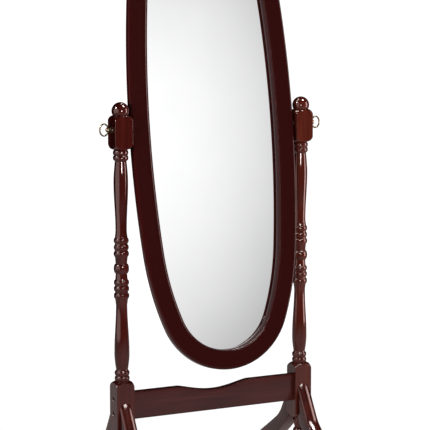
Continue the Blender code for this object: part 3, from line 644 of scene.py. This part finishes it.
def make_post(side_name, side):
    columns = []
    across = 42
    for face in range(4):
        for step in range(across):
            turn = math.atan(math.sin(math.pi / 2 * (2 * step / across - 1)))
            columns.append((face * math.pi / 2 + turn, square_reach(abs(turn))))
    blend = 0.0003
    maker = bmesh.new()
    rings = []
    for z, r in reversed(post_profile()):
        ring = []
        for angle, reach in columns:
            soft = (r + reach - math.sqrt((r - reach) ** 2 + blend ** 2)) / 2
            ring.append(Vector((soft * math.cos(angle), soft * math.sin(angle), z)))
        rings.append(ring)
    add_rings(maker, rings)
    name, place = "post_" + side_name, Matrix.Translation((side * HALF_SPAN, 0, PIVOT.z))
    post = look_of(name, maker, "stand", "cherry_post", 30, place, MATERIALS[name])
    far = 0.05
    wide = COUNTERBORE_R + 0.0006
    across_post = sideways(side, side * HALF_SPAN, PIVOT.z)
    drills = [([(-far, SHANK_HOLE_R), (far, SHANK_HOLE_R)], across_post)]
    for height in BOLT_HEIGHTS:
        step = [(-far, BOLT_HOLE_R), (HALF_BLOCK - COUNTERBORE, BOLT_HOLE_R)]
        step += [(HALF_BLOCK - COUNTERBORE, COUNTERBORE_R), (HALF_BLOCK - 0.0005, COUNTERBORE_R)]
        step += [(HALF_BLOCK + 0.0002, wide), (far, wide)]
        drills.append((step, sideways(side, side * HALF_SPAN, PIVOT.z + height)))
    for end in ENDS.values():
        for height in DOWEL_HEIGHTS:
            hole = [(HALF_BLOCK - DOWEL_HOLE_DEPTH, DOWEL_HOLE_R), (far, DOWEL_HOLE_R)]
            drills.append((hole, along_y(side * HALF_SPAN, PIVOT.z + height, end)))
    bore(post, drills)


# ---- stretcher and legs
def rounded_rectangle(low, high, radius, steps=5):
    """Points round a rectangle with rounded corners, anticlockwise."""
    points = []
    corners = ((high[0], high[1], 0), (low[0], high[1], 1), (low[0], low[1], 2), (high[0], low[1], 3))
    for x, y, quarter in corners:
        cx = x - radius * (1 if quarter in (0, 3) else -1)
        cy = y - radius * (1 if quarter in (0, 1) else -1)
        for angle in sweep(steps):
            angle += math.pi / 2 * quarter
            points.append((cx + radius * math.cos(angle), cy + radius * math.sin(angle)))
    return points


def make_stretcher():
    low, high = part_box("stretcher")
    steps, edge, eased = 64, 0.0018, 0.0004
    xs = [low.x, low.x + eased]
    xs += [SCOOP_HALF * (2 * step / steps - 1) for step in range(steps + 1)]
    xs += [high.x - eased, high.x]
    rings = []
    for x in xs:
        u = min(1.0, abs(x) / SCOOP_HALF)
        top = high.z - SCOOP_DEPTH * (1 - u * u) ** 1.5
        ring = rounded_rectangle((low.y, low.z), (high.y, top), edge)
        rings.append([Vector((x, y, z)) for y, z in ring])
    maker = bmesh.new()
    add_rings(maker, rings)
    rail = look_of("stretcher", maker, "stand", "cherry_rail", 30)
    bolt_hole = [(0, BOLT_HOLE_R), (0.080, BOLT_HOLE_R)]
    pocket = [(-0.0083, 0.0053), (high.y - 0.0006, 0.0053), (high.y + 0.001, 0.0069)]
    drills = []
    for side in SIDES.values():
        for height in BOLT_HEIGHTS:
            z = PIVOT.z + height
            drills.append((bolt_hole, sideways(side, side * (INNER_FACE - 0.045), z)))
            drills.append((pocket, along_y(side * (INNER_FACE - NUT_FROM_END), z)))
    bore_each(rail, drills)


def leg_stations(steps=7):
    """Matching points of a leg's upper and lower edges, from the post out to the toe."""
    ground = 0.0033 - PIVOT.z
    face = HALF_BLOCK + TOUCH
    upper_and_lower = [
        ((face, LEG_TOP), (face, LEG_TOP)),
        ((0.0310, -0.7135), (face, -0.7150)),
        ((0.0385, -0.7255), (face, -0.7290)),
        ((0.0480, -0.7420), (face, -0.7480)),
        ((0.0690, -0.7785), (face, -0.7840)),
        ((0.0810, -0.7980), (face, FOOT_BLOCK_BOTTOM)),
        ((0.0980, -0.8145), (0.0400, -0.8180)),
        ((0.1190, -0.8285), (0.0640, -0.8400)),
        ((0.1560, -0.8520), (0.1080, -0.8735)),
        ((0.1940, -0.8760), (0.1560, -0.8965)),
        ((0.2230, -0.8940), (0.1950, -0.9150)),
        ((0.2420, -0.9040), (0.2200, ground)),
        ((0.2540, -0.9110), (0.2420, ground)),
        ((0.2600, -0.9180), (0.2550, ground)),
    ]
    points = [np.array((*upper, *lower)) for upper, lower in upper_and_lower]
    stations = []
    for out, height, inner_out, inner_height in smooth_path(points, steps):
        lower = Vector((0, max(face, inner_out), max(ground, inner_height)))
        stations.append((Vector((0, out, height)), lower))
    return stations


def leg_section(upper, lower, crown_steps=22, edge_steps=4):
    """A closed section with a crowned top and softened lower edges."""
    half = LEG_THICK / 2
    depth = (upper - lower).length
    if depth < TOUCH:
        return [upper.copy() for _ in range(crown_steps + 1 + 2 * (edge_steps + 1))]
    down = (lower - upper) / depth
    widest = math.acos(max(0.0, 1 - depth / LEG_CROWN))
    edge = min(0.0022, max(0.0, depth - LEG_CROWN) / 2)
    points = []
    for step in range(crown_steps + 1):
        angle = widest * (2 * step / crown_steps - 1)
        drop = down * (LEG_CROWN * (1 - math.cos(angle)))
        points.append(upper + drop + Vector((half * math.sin(angle), 0, 0)))
    reach = half * math.sin(widest)
    for mirror in (1, -1):
        for turn in sweep(edge_steps)[::mirror]:
            x = mirror * (reach - edge * (1 - math.cos(turn)))
            points.append(lower - down * (edge * (1 - math.sin(turn))) + Vector((x, 0, 0)))
    return points


def leg_maker():
    """One leg pointing along +Y, its toe rounded over."""
    rings = [leg_section(upper, lower) for upper, lower in leg_stations()]
    last = rings.pop()
    centre = sum(last, Vector()) / len(last)
    toe = 0.0022
    for turn in sweep(4):
        ring = []
        for point in last:
            inwards = (centre - point).normalized() * toe * (1 - math.cos(turn))
            ring.append(point + inwards + Vector((0, toe * (math.sin(turn) - 1), 0)))
        rings.append(ring)
    maker = bmesh.new()
    add_rings(maker, rings, closed_start=False)
    bmesh.ops.remove_doubles(maker, verts=maker.verts, dist=2e-5)
    return maker


def make_leg(side_name, side, end_name, end):
    name = f"leg_{side_name}_{end_name}"
    seed = 3.7 * side + 1.9 * end
    material = lacquered_cherry(name + "_cherry", LEG_DARK, LEG_LIGHT, "y", seed, 0.13)
    turn = Matrix.Rotation(0 if end > 0 else math.pi, 4, "Z")
    place = Matrix.Translation((side * HALF_SPAN, 0, PIVOT.z)) @ turn
    leg = look_of(name, leg_maker(), "stand", "cherry_leg", 35, place, material)
    hole = [(0, DOWEL_HOLE_R), (HALF_BLOCK + DOWEL_HOLE_DEPTH, DOWEL_HOLE_R)]
    places = [along_y(side * HALF_SPAN, PIVOT.z + height, end) for height in DOWEL_HEIGHTS]
    bore(leg, [(hole, where) for where in places])


def make_glide(name):
    low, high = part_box(name)
    centre, r = (low + high) / 2, (high.x - low.x) / 2
    outline = [(0, 0.0060), (0.0, r - 0.0006), (0.0005, r), (0.0022, r), (0.0030, r - 0.0008)]
    maker = turned(rounded(outline), 72, place=Matrix.Translation((centre.x, centre.y, 0)))
    look_of(name, maker, "stand", "nylon", 40)


def make_legs():
    for side_name, side in SIDES.items():
        for end_name, end in ENDS.items():
            make_leg(side_name, side, end_name, end)
            make_glide(f"foot_glide_{side_name}_{end_name}")


# ---- the mirror
def oval_arcs():
    """The three arcs of a quarter of the oval, from its side up: (centre, radius, start, end)."""
    a, b = OVAL_SIDE_TURN, OVAL_TIP_TURN
    width = FRAME_HALF_WIDTH - OVAL_SIDE_R * (1 - math.cos(a))
    height = OVAL_HALF_HEIGHT - OVAL_SIDE_R * math.sin(a)
    across = (math.cos(a) - math.cos(b), math.cos(b))
    upward = (math.sin(b) - math.sin(a), 1 - math.sin(b))
    scale = across[0] * upward[1] - across[1] * upward[0]
    middle_r = (width * upward[1] - across[1] * height) / scale
    tip_r = (across[0] * height - width * upward[0]) / scale
    arcs, at = [], Vector((FRAME_HALF_WIDTH, 0.0))
    for radius, first, last in ((OVAL_SIDE_R, 0.0, a), (middle_r, a, b), (tip_r, b, math.pi / 2)):
        centre = at - aimed(first) * radius
        arcs.append((centre, radius, first, last))
        at = centre + aimed(last) * radius
    return arcs


def aimed(turn):
    return Vector((math.cos(turn), math.sin(turn)))


def oval_ring(inset):
    """Points all round the oval, moved in by INSET, starting at the right side."""
    quarter = []
    for (centre, radius, first, last), steps in zip(oval_arcs(), OVAL_STEPS):
        for step in range(steps):
            turn = first + (last - first) * step / steps
            quarter.append(centre + aimed(turn) * (radius - inset))
    upper = quarter + [Vector((0.0, OVAL_HALF_HEIGHT - inset))]
    upper += [Vector((-p.x, p.y)) for p in reversed(quarter)]
    return upper + [-p for p in upper[1:-1]]


def oval_point(turn, inset):
    """The point and outward normal where the oval faces TURN."""
    quarter_turn = math.acos(abs(math.cos(turn)))
    for centre, radius, _, last in oval_arcs():
        if quarter_turn <= last + 1e-9:
            break
    normal = aimed(quarter_turn)
    flip = Vector((math.copysign(1, math.cos(turn)), math.copysign(1, math.sin(turn))))
    return (centre + normal * (radius - inset)) * flip, normal * flip


MIRROR_PLACE = Matrix.Translation(PIVOT) @ Matrix.Rotation(-REST_TILT, 4, "X")


def frame_section():
    """The moulding's section as (inset, y), all round the timber."""
    front, back = -FRAME_HALF_DEPTH, FRAME_HALF_DEPTH
    section = []
    for turn in sweep(12):
        depth = front + FRAME_OUTER_ROUND * (1 - math.sin(turn))
        section.append((FRAME_OUTER_ROUND * (1 - math.cos(turn)), depth))
    section += [(inset, front) for inset in (0.0160, 0.0280, 0.0380, FACE_INSET - 0.0003)]
    section += [(FACE_INSET, front + 0.0002)]
    section += [(FACE_INSET + GROOVE * share, front + GROOVE) for share in (0.4, 0.6)]
    crest = FACE_INSET + GROOVE + BEAD_R
    for turn in sweep(14, math.radians(140)):
        turn += math.radians(30)
        depth = front + BEAD_R * (1 - math.sin(turn))
        section.append((crest - BEAD_R * math.cos(turn), depth))
    quirk, start, cove = crest + BEAD_R + 0.0001, front + 0.0029, 0.0100
    section += [(quirk, start - 0.0003), (quirk + 0.0001, start)]
    # Below the bead the wall bulges towards the glass: shares of its depth and its reach.
    for along, inward in ((0.10, 0.17), (0.30, 0.45), (0.55, 0.72), (0.80, 0.92), (1.0, 1.0)):
        section.append((quirk + (LIP_INSET - 0.0001 - quirk) * inward, start + cove * along))
    section += [(LIP_INSET, REBATE_Y - 0.0005), (LIP_INSET - 0.0004, REBATE_Y)]
    section += [(REBATE_INSET, REBATE_Y), (REBATE_INSET, back - 0.0003)]
    section += [(REBATE_INSET - 0.0003, back)]
    for turn in sweep(6):
        inset = FRAME_BACK_ROUND * (1 - math.sin(turn))
        section.append((inset, back - FRAME_BACK_ROUND * (1 - math.cos(turn))))
    return section


def make_frame():
    outline = oval_ring(0.0)
    # Arc length counted up from the lower tip along both sides, for the grain.
    lengths = [0.0]
    for first, second in zip(outline, outline[1:]):
        lengths.append(lengths[-1] + (second - first).length)
    whole = lengths[-1] + (outline[0] - outline[-1]).length
    maker = bmesh.new()
    loops, grain = [], []
    for inset, y in frame_section():
        loops.append([maker.verts.new((p.x, y, p.y)) for p in oval_ring(inset)])
        for length in lengths:
            along = (length + whole / 4) % whole
            grain.append((min(along, whole - along), inset, y))
    join_loops(maker, loops, around=True)
    ring = look_of("mirror_frame", maker, "mirror", "cherry_frame", 50, MIRROR_PLACE)
    attribute = ring.data.attributes.new("grain", "FLOAT_VECTOR", "POINT")
    attribute.data.foreach_set("vector", np.array(grain, np.float32).ravel())
    insert_hole = [(-0.0153, 0.0053), (0.010, 0.0053)]
    screw_hole = [(-0.0113, 0.0018), (0.010, 0.0018)]
    drills = []
    for side in SIDES.values():
        drills.append((insert_hole, MIRROR_PLACE @ sideways(side, side * FRAME_HALF_WIDTH)))
    drills += [(screw_hole, where) for where in plate_places()]
    bore(ring, drills)


def plate_places():
    """Where the six plates sit: local +X points outwards and +Z out of the back."""
    turns = [PLATE_TURN, math.pi / 2, math.pi - PLATE_TURN]
    turns += [turn + math.pi for turn in turns]
    places = []
    for turn in turns:
        at, normal = oval_point(turn, PLATE_INSET)
        angle = math.atan2(normal.y, normal.x)
        spin = Matrix.Rotation(-angle, 4, "Y") @ Matrix.Rotation(-math.pi / 2, 4, "X")
        places.append(MIRROR_PLACE @ Matrix.Translation((at.x, FRAME_HALF_DEPTH, at.y)) @ spin)
    return places


def oval_pane(node, slot_name, front, back, arris):
    """An oval sheet whose edge is slightly arrised on both sides."""
    rings = []
    for extra, y in ((arris, front), (0, front + arris), (0, back - arris), (arris, back)):
        rings.append([Vector((p.x, y, p.y)) for p in oval_ring(PANE_INSET + extra)])
    maker = bmesh.new()
    add_rings(maker, rings)
    return look_of(node, maker, "mirror", slot_name, 25, MIRROR_PLACE)


def make_mirror():
    make_frame()
    front = REBATE_Y + TOUCH
    back = front + GLASS_THICK
    pane = oval_pane("mirror_glass", "silvered_glass", front + SILVER_DEPTH, back, 0.0004)
    pane.data.materials.append(MATERIALS["glass_edge"])
    for polygon in pane.data.polygons:
        if len(polygon.vertices) == 4:
            polygon.material_index = 1
    oval_pane("backing_board", "hardboard", back + TOUCH, FRAME_HALF_DEPTH - TOUCH, 0.0005)
    for number, where in enumerate(plate_places(), 1):
        make_plate(number, where)


def make_plate(number, where):
    """A zinc plate that holds the board, and its cross-head screw."""
    inner, outer, half = -0.0240, 0.0080, 0.0070
    thin, corner = 0.0003, 0.0040
    rings = []
    for shrink, z in ((thin, TOUCH), (0, TOUCH + thin), (0, PLATE_THICK - thin), (thin, PLATE_THICK)):
        low, high = (inner + shrink, shrink - half), (outer - shrink, half - shrink)
        outline = rounded_rectangle(low, high, corner - shrink, 8)
        rings.append([Vector((x, y, z)) for x, y in outline])
    maker = bmesh.new()
    add_rings(maker, rings)
    plate = look_of(f"back_plate_{number}", maker, "mirror", "zinc_steel", 35, where)
    bore(plate, [([(-0.005, 0.0018), (0.005, 0.0018)], where)])
    r, head = 0.0015, PLATE_THICK + TOUCH
    profile = [(-0.0110, 0.0006), (-0.0080, r), (head, r), (head, 0.0034)]
    profile += [(head + 0.0003, 0.00335), (head + 0.0009, 0.0030), (head + 0.0014, 0.0022)]
    profile += [(head + 0.0018, 0.0010)]
    maker = turned(rounded(profile, 0.0003), 48, place=where)
    screw = look_of(f"back_plate_screw_{number}", maker, "mirror", "zinc_steel", 35)
    blade = [(-0.0019, 0.0009), (0.0019, 0.0009)]
    flat = Matrix.Diagonal((1.0, 0.42, 1.0, 1.0)) @ Matrix.Rotation(math.pi / 2, 4, "Y")
    for spin in (0.4, 0.4 + math.pi / 2):
        groove = where @ Matrix.Translation((0, 0, 0.0036)) @ Matrix.Rotation(spin, 4, "Z")
        bore(screw, [(blade, groove @ flat)])


# ---- thumb screws and others
def tube(outline, place, sides=72):
    """A ring of revolution about local Z from a closed outline of (z, r) pairs."""
    maker = bmesh.new()
    loops = []
    for a in sweep(sides, 2 * math.pi)[:-1]:
        points = [place @ Vector((r * math.cos(a), r * math.sin(a), z)) for z, r in outline]
        loops.append([maker.verts.new(point) for point in points])
    join_loops(maker, loops, around=True)
    return maker


def pipe_outline(start, end, outer, inner, edge=0.0003):
    return [
        (start, inner + edge), (start, outer - edge), (start + edge * 0.3, outer - edge * 0.3),
        (start + edge, outer), (end - edge, outer), (end - edge * 0.3, outer - edge * 0.3),
        (end, outer - edge), (end, inner + edge), (end - edge, inner), (start + edge, inner),
    ]


def finger_ring(place, centre):
    """The oval wire ring that stands on the screw's ball."""
    around, across = 112, 24
    maker = bmesh.new()
    loops = []
    for angle in sweep(around, 2 * math.pi)[:-1]:
        c, s = math.cos(angle), math.sin(angle)
        out = Vector((c / RING_HALF_UP, 0, s / RING_HALF_OUT)).normalized()
        core = Vector((RING_HALF_UP * c, 0, centre + RING_HALF_OUT * s))
        loop = []
        for wind in sweep(across, 2 * math.pi)[:-1]:
            reach = out * math.cos(wind) + Vector((0, 1, 0)) * math.sin(wind)
            loop.append(maker.verts.new(place @ (core + reach * RING_WIRE)))
        loops.append(loop)
    join_loops(maker, loops, around=True)
    return maker


def make_thumb_screw(side_name, place):
    ball, neck = 0.0070, 0.0045
    centre = OUTER_FACE + 0.0094
    seat = OUTER_FACE + 2 * TOUCH + WASHER_THICK
    tip = FRAME_HALF_WIDTH - 0.0130
    root = SHANK_R - 0.0003
    profile = [(tip, 0.0021), (tip + 0.001, SHANK_R)]
    # Shallow turns stand for the thread where the shank enters the frame.
    for turn in range(11):
        z = tip + 0.0014 + THREAD_PITCH * turn
        profile += [(z, SHANK_R), (z + THREAD_PITCH * 0.35, root), (z + THREAD_PITCH * 0.6, root)]
    profile += [(tip + 0.0130, SHANK_R), (seat, SHANK_R), (seat, 0.0043), (seat + 0.0003, neck)]
    joint = math.asin(neck / ball)
    last = math.pi - math.radians(3)
    for angle in sweep(32, last - joint):
        angle += joint
        profile.append((centre - ball * math.cos(angle), ball * math.sin(angle)))
    maker = turned(profile, 80, place=place)
    name, body = "thumb_screw_" + side_name, "screw_" + side_name
    screw = look_of(name, maker, body, "antique_brass", 35)
    combine(screw, finger_ring(place, centre + RING_HALF_OUT), "UNION")
    screw.data.shade_smooth()
    screw.data.set_sharp_from_angle(angle=math.radians(35))


def carry_over(name, material):
    """Keeps the CAD node's own shape and gives it a better material."""
    node = frame["nodes"][name]
    node.data.materials.clear()
    node.data.materials.append(material)


def make_pivots():
    bore_r = 0.0035
    for side_name, side in SIDES.items():
        place = sideways(side, 0, PIVOT.z)
        spacer = pipe_outline(FRAME_HALF_WIDTH + TOUCH, INNER_FACE - TOUCH, 0.0075, bore_r)
        name = "spacer_" + side_name
        look_of(name, tube(spacer, place), "stand", "nylon", 35)
        start = OUTER_FACE + TOUCH
        washer = pipe_outline(start, start + WASHER_THICK, 0.0080, bore_r)
        name = "washer_" + side_name
        look_of(name, tube(washer, place), name, "antique_brass", 35)
        make_thumb_screw(side_name, place)
        carry_over("threaded_insert_" + side_name, MATERIALS["yellow_brass"])


def make_bolt(label, place):
    seat = OUTER_FACE - COUNTERBORE + TOUCH
    top = seat + BOLT_HEAD_LENGTH
    tip = INNER_FACE - NUT_FROM_END - NUT_HALF
    profile = [(tip, 0.0024), (tip + 0.001, SHANK_R), (seat, SHANK_R), (seat, BOLT_HEAD_R - 0.0002)]
    profile += [(seat + 0.0002, BOLT_HEAD_R), (top - 0.0016, BOLT_HEAD_R), (top, 0.0040)]
    maker = turned(rounded(profile, 0.0003), 72, place=place)
    bolt = look_of("stretcher_bolt_" + label, maker, "stand", "black_steel", 30)
    socket = [(top - 0.0025, 0.0027), (top + 0.002, 0.0027)]
    combine(bolt, turned(socket, 6, place=place))


def make_barrel_nut(label, place, upright):
    profile = [(-NUT_HALF, 0.0046), (-0.0076, 0.0050), (0.0076, 0.0050), (NUT_HALF, 0.0046)]
    maker = turned(rounded(profile, 0.0003), 56, place=upright)
    nut = look_of("barrel_nut_" + label, maker, "stand", "zinc_steel", 30)
    nut_at = INNER_FACE - NUT_FROM_END
    bore(nut, [([(nut_at - 0.01, BOLT_HOLE_R), (nut_at + 0.01, BOLT_HOLE_R)], place)])


def make_fasteners():
    for side_name, side in SIDES.items():
        for row, height in zip(ROWS, BOLT_HEIGHTS):
            label = f"{side_name}_{row}"
            z = PIVOT.z + height
            place = sideways(side, 0, z)
            make_bolt(label, place)
            make_barrel_nut(label, place, along_y(side * (INNER_FACE - NUT_FROM_END), z))
        for end_name in ENDS:
            for row in ROWS:
                carry_over(f"leg_dowel_{side_name}_{end_name}_{row}", MATERIALS["beech_dowel"])


# ---- build the object
for post_side, post_sign in SIDES.items():
    make_post(post_side, post_sign)
make_stretcher()
make_legs()
make_mirror()
make_pivots()
make_fasteners()


# ---- floor, light, camera
def stage_sheet(name, points, material, only=None):
    """A flat sheet of the set. One that shines on ONLY these pieces is not seen itself."""
    maker = bmesh.new()
    maker.faces.new([maker.verts.new(point) for point in points])
    mesh = bpy.data.meshes.new(name)
    maker.to_mesh(mesh)
    maker.free()
    sheet = bpy.data.objects.new(name, mesh)
    bpy.context.scene.collection.objects.link(sheet)
    mesh.materials.append(material)
    if only:
        sheet.visible_camera = False
        sheet.visible_shadow = False
        shine_only_on(sheet, only)


def stage_tree(name):
    tree = Tree(name)
    tree.nodes.remove(tree.shader)
    return tree


def floor_material():
    """A white sweep. Other pieces see it lit only near the object, as by a soft box."""
    tree = stage_tree("white_sweep")
    at = tree.add("ShaderNodeTexCoord").outputs["Object"]
    away = tree.add("ShaderNodeVectorMath", {0: at}, operation="LENGTH").outputs["Value"]
    paper = tree.add("ShaderNodeBsdfDiffuse", {"Color": FLOOR_GREY}).outputs[0]
    shine = tree.glow(tree.slope(away, *FLOOR_SEEN))
    seen = tree.add("ShaderNodeAddShader", {0: paper, 1: shine}).outputs[0]
    return tree.surface(seen, tree.glow(tree.slope(away, *FLOOR_LIT), PALE))


def card_material():
    """The lit card in front, brightest at one spot and fading evenly round it."""
    tree = stage_tree("lit_card")
    at = tree.add("ShaderNodeTexCoord").outputs["Object"]
    sockets = {0: at, 1: CARD_BRIGHTEST}
    centred = tree.add("ShaderNodeVectorMath", sockets, operation="SUBTRACT").outputs[0]
    sockets = {"Vector": centred, "Rotation": (0, CARD_TURN, 0), "Scale": CARD_FADE}
    around = tree.add("ShaderNodeMapping", sockets, vector_type="TEXTURE").outputs[0]
    away = tree.add("ShaderNodeVectorMath", {0: around}, operation="LENGTH").outputs["Value"]
    fall = tree.math("POWER", away, 2.0)
    level = tree.math("MAXIMUM", tree.math("SUBTRACT", CARD_LEVEL, fall), CARD_DIMMEST)
    return tree.surface(tree.glow(level))


def add_area(name, location, target, size, power, colour, glossy=True, only=None):
    """A lamp seen either in the lacquer or in the shading of the wood, never both."""
    light = bpy.data.lights.new(name, "AREA")
    light.shape = "RECTANGLE"
    light.size, light.size_y = size
    light.energy = power
    light.color = colour
    lamp = bpy.data.objects.new(name, light)
    bpy.context.scene.collection.objects.link(lamp)
    lamp.location = location
    direction = Vector(target) - Vector(location)
    lamp.rotation_euler = direction.to_track_quat("-Z", "Y").to_euler()
    lamp.visible_camera = False
    lamp.visible_diffuse = not glossy
    lamp.visible_glossy = glossy
    if only:
        shine_only_on(lamp, only)


def shine_only_on(source, names):
    """Links a lamp or a lit sheet to these pieces alone."""
    receivers = bpy.data.collections.new(source.name + "_receivers")
    for name in names:
        receivers.objects.link(bpy.data.objects[name])
    source.light_linking.receiver_collection = receivers


def make_world():
    """White to the camera. The object itself sees a dark room with a lit rear wall."""
    tree = Tree("studio", "worlds")
    bpy.context.scene.world = tree.owner
    facing = tree.add("ShaderNodeTexCoord").outputs["Generated"]
    factors = []
    for aim, start, end, most in REAR_WALL:
        sockets = {0: facing, 1: aim}
        along = tree.add("ShaderNodeVectorMath", sockets, operation="DOT_PRODUCT").outputs["Value"]
        sockets = {"Value": along, "From Min": start, "From Max": end, "To Max": most}
        factors.append(tree.add("ShaderNodeMapRange", sockets).outputs["Result"])
    sockets = {0: factors[0], 1: factors[1], 2: ROOM}
    wall = tree.add("ShaderNodeMath", sockets, operation="MULTIPLY_ADD").outputs[0]
    lit = tree.add("ShaderNodeBackground", {"Strength": wall}).outputs[0]
    seen = tree.nodes["Background"]
    seen.inputs["Color"].default_value = (*WHITE, 1)
    seen.inputs["Strength"].default_value = SKY_SEEN
    tree.surface(seen.outputs[0], lit, "World Output")


def make_glass_room():
    """A lit card and a pale room that only the glass answers to, as the wood must stay dark."""
    only = ["mirror_glass_look"]
    corners = [(CARD_LEFT, CARD_FOOT), (CARD_RIGHT, CARD_FOOT)]
    corners += [(CARD_RIGHT, CARD_TOP), (CARD_LEFT, CARD_TOP)]
    stage_sheet("lit_card", [(x, CARD_Y, z) for x, z in corners], card_material(), only)
    tree = stage_tree("pale_room")
    pale = tree.surface(tree.glow(ROOM_GLOW))
    signs = ((-1, -1), (1, -1), (1, 1), (-1, 1))
    corners = [(x * ROOM_REACH, y * ROOM_REACH) for x, y in signs]
    low, high = 0.0, 2 * ROOM_REACH
    walls = []
    for (x_a, y_a), (x_b, y_b) in zip(corners, corners[1:] + corners[:1]):
        walls.append([(x_a, y_a, low), (x_b, y_b, low), (x_b, y_b, high), (x_a, y_a, high)])
    walls.append([(x, y, high) for x, y in corners])
    for number, points in enumerate(walls):
        stage_sheet(f"pale_room_{number}", points, pale, only)


def make_floor():
    turns = sweep(96, 2 * math.pi)[:-1]
    rim = [(FLOOR_REACH * math.cos(a), FLOOR_REACH * math.sin(a), -FLOOR_DROP) for a in turns]
    stage_sheet("floor", rim, floor_material())


def make_lamps():
    left_ball = Vector((-HALF_SPAN, 0, PIVOT.z + FINIAL_Z))
    upper_left = left_ball + 2.5 * Vector((-0.816, 0.054, 0.579))
    looks = [look.name for look in bpy.data.objects if look.name.endswith("_look")]
    legs = [name for name in looks if name.startswith("leg_")]
    rim = ["mirror_frame_look"]
    others = [name for name in looks if name not in rim + ["mirror_glass_look"]]
    add_area("upper_left", upper_left, left_ball, (0.60, 0.60), 70, PALE)
    add_area("upper_right", (0.82, -0.79, 3.00), (0, 0, 0.93), (0.70, 0.70), 85, PALE)
    add_area("low_front", (-0.39, -1.50, 1.00), (0, 0, 0.85), (0.24, 0.24), 12, PALE, only=others)
    add_area("left_wall", (-2.6, -0.40, 1.15), (0, -0.4, 1.15), (3.4, 2.1), 52, WARM, only=others)
    add_area("rear_left", (-2.4, 1.9, 1.15), (0, 0, 1.15), (1.5, 2.1), 8, WARM, only=rim)
    add_area("right_strip", (2.27, -1.26, 1.15), (0, 0, 1.15), (0.95, 2.1), 55, WARM)
    add_area("bead_panel", (-0.5, 0.1, 2.9), (-0.2, 0, 0.7), (2.4, 2.0), 600, CREAM, only=rim)
    add_area("face_glow", (1.36, -2.67, 1.4), (0, 0, 0.93), (3.0, 3.0), 2.5, WARM, only=rim)
    add_area("rear_right", (2.2, 1.9, 1.15), (0, 0, 1.15), (1.5, 2.1), 10, PALE, only=rim)
    add_area("leg_panel", (0.3, -1.3, 2.6), (0, 0, 0.2), (1.2, 0.7), 60, PALE, only=legs)
    add_area("fill", (0.5, -3.4, 1.9), (0, 0, 0.7), (2.0, 2.0), 85, WHITE, False)
    add_area("rear_fill", (1.2, 3.4, 2.0), (0, 0, 0.7), (2.0, 2.0), 35, WHITE, False)
    add_area("left_fill", (-3.0, -0.6, 1.3), (0, 0, 0.9), (1.5, 1.5), 10, WHITE, False)
    add_area("edge_fill", (-2.5, -0.4, 1.1), (0, 0, 0.9), (1.5, 1.5), 48, WHITE, False, rim)


def make_camera():
    """A long lens from the front left, a little above the tilt axis."""
    data = bpy.data.cameras.new("camera")
    camera = bpy.data.objects.new("camera", data)
    bpy.context.scene.collection.objects.link(camera)
    data.sensor_width = 36
    data.lens = CAMERA_LENS
    data.clip_end = 100
    level = math.cos(CAMERA_DIP)
    right = Vector((math.cos(CAMERA_SWING), -math.sin(CAMERA_SWING), 0))
    ahead = Vector((-right.y * level, right.x * level, -math.sin(CAMERA_DIP)))
    axes = Matrix((right, right.cross(ahead), -ahead)).transposed().to_4x4()
    camera.matrix_world = Matrix.Translation(PIVOT + Vector(CAMERA_FROM_PIVOT)) @ axes
    bpy.context.scene.camera = camera


make_floor()
make_world()
make_glass_room()
make_lamps()
make_camera()
bpy.context.scene.view_settings.view_transform = "Standard"
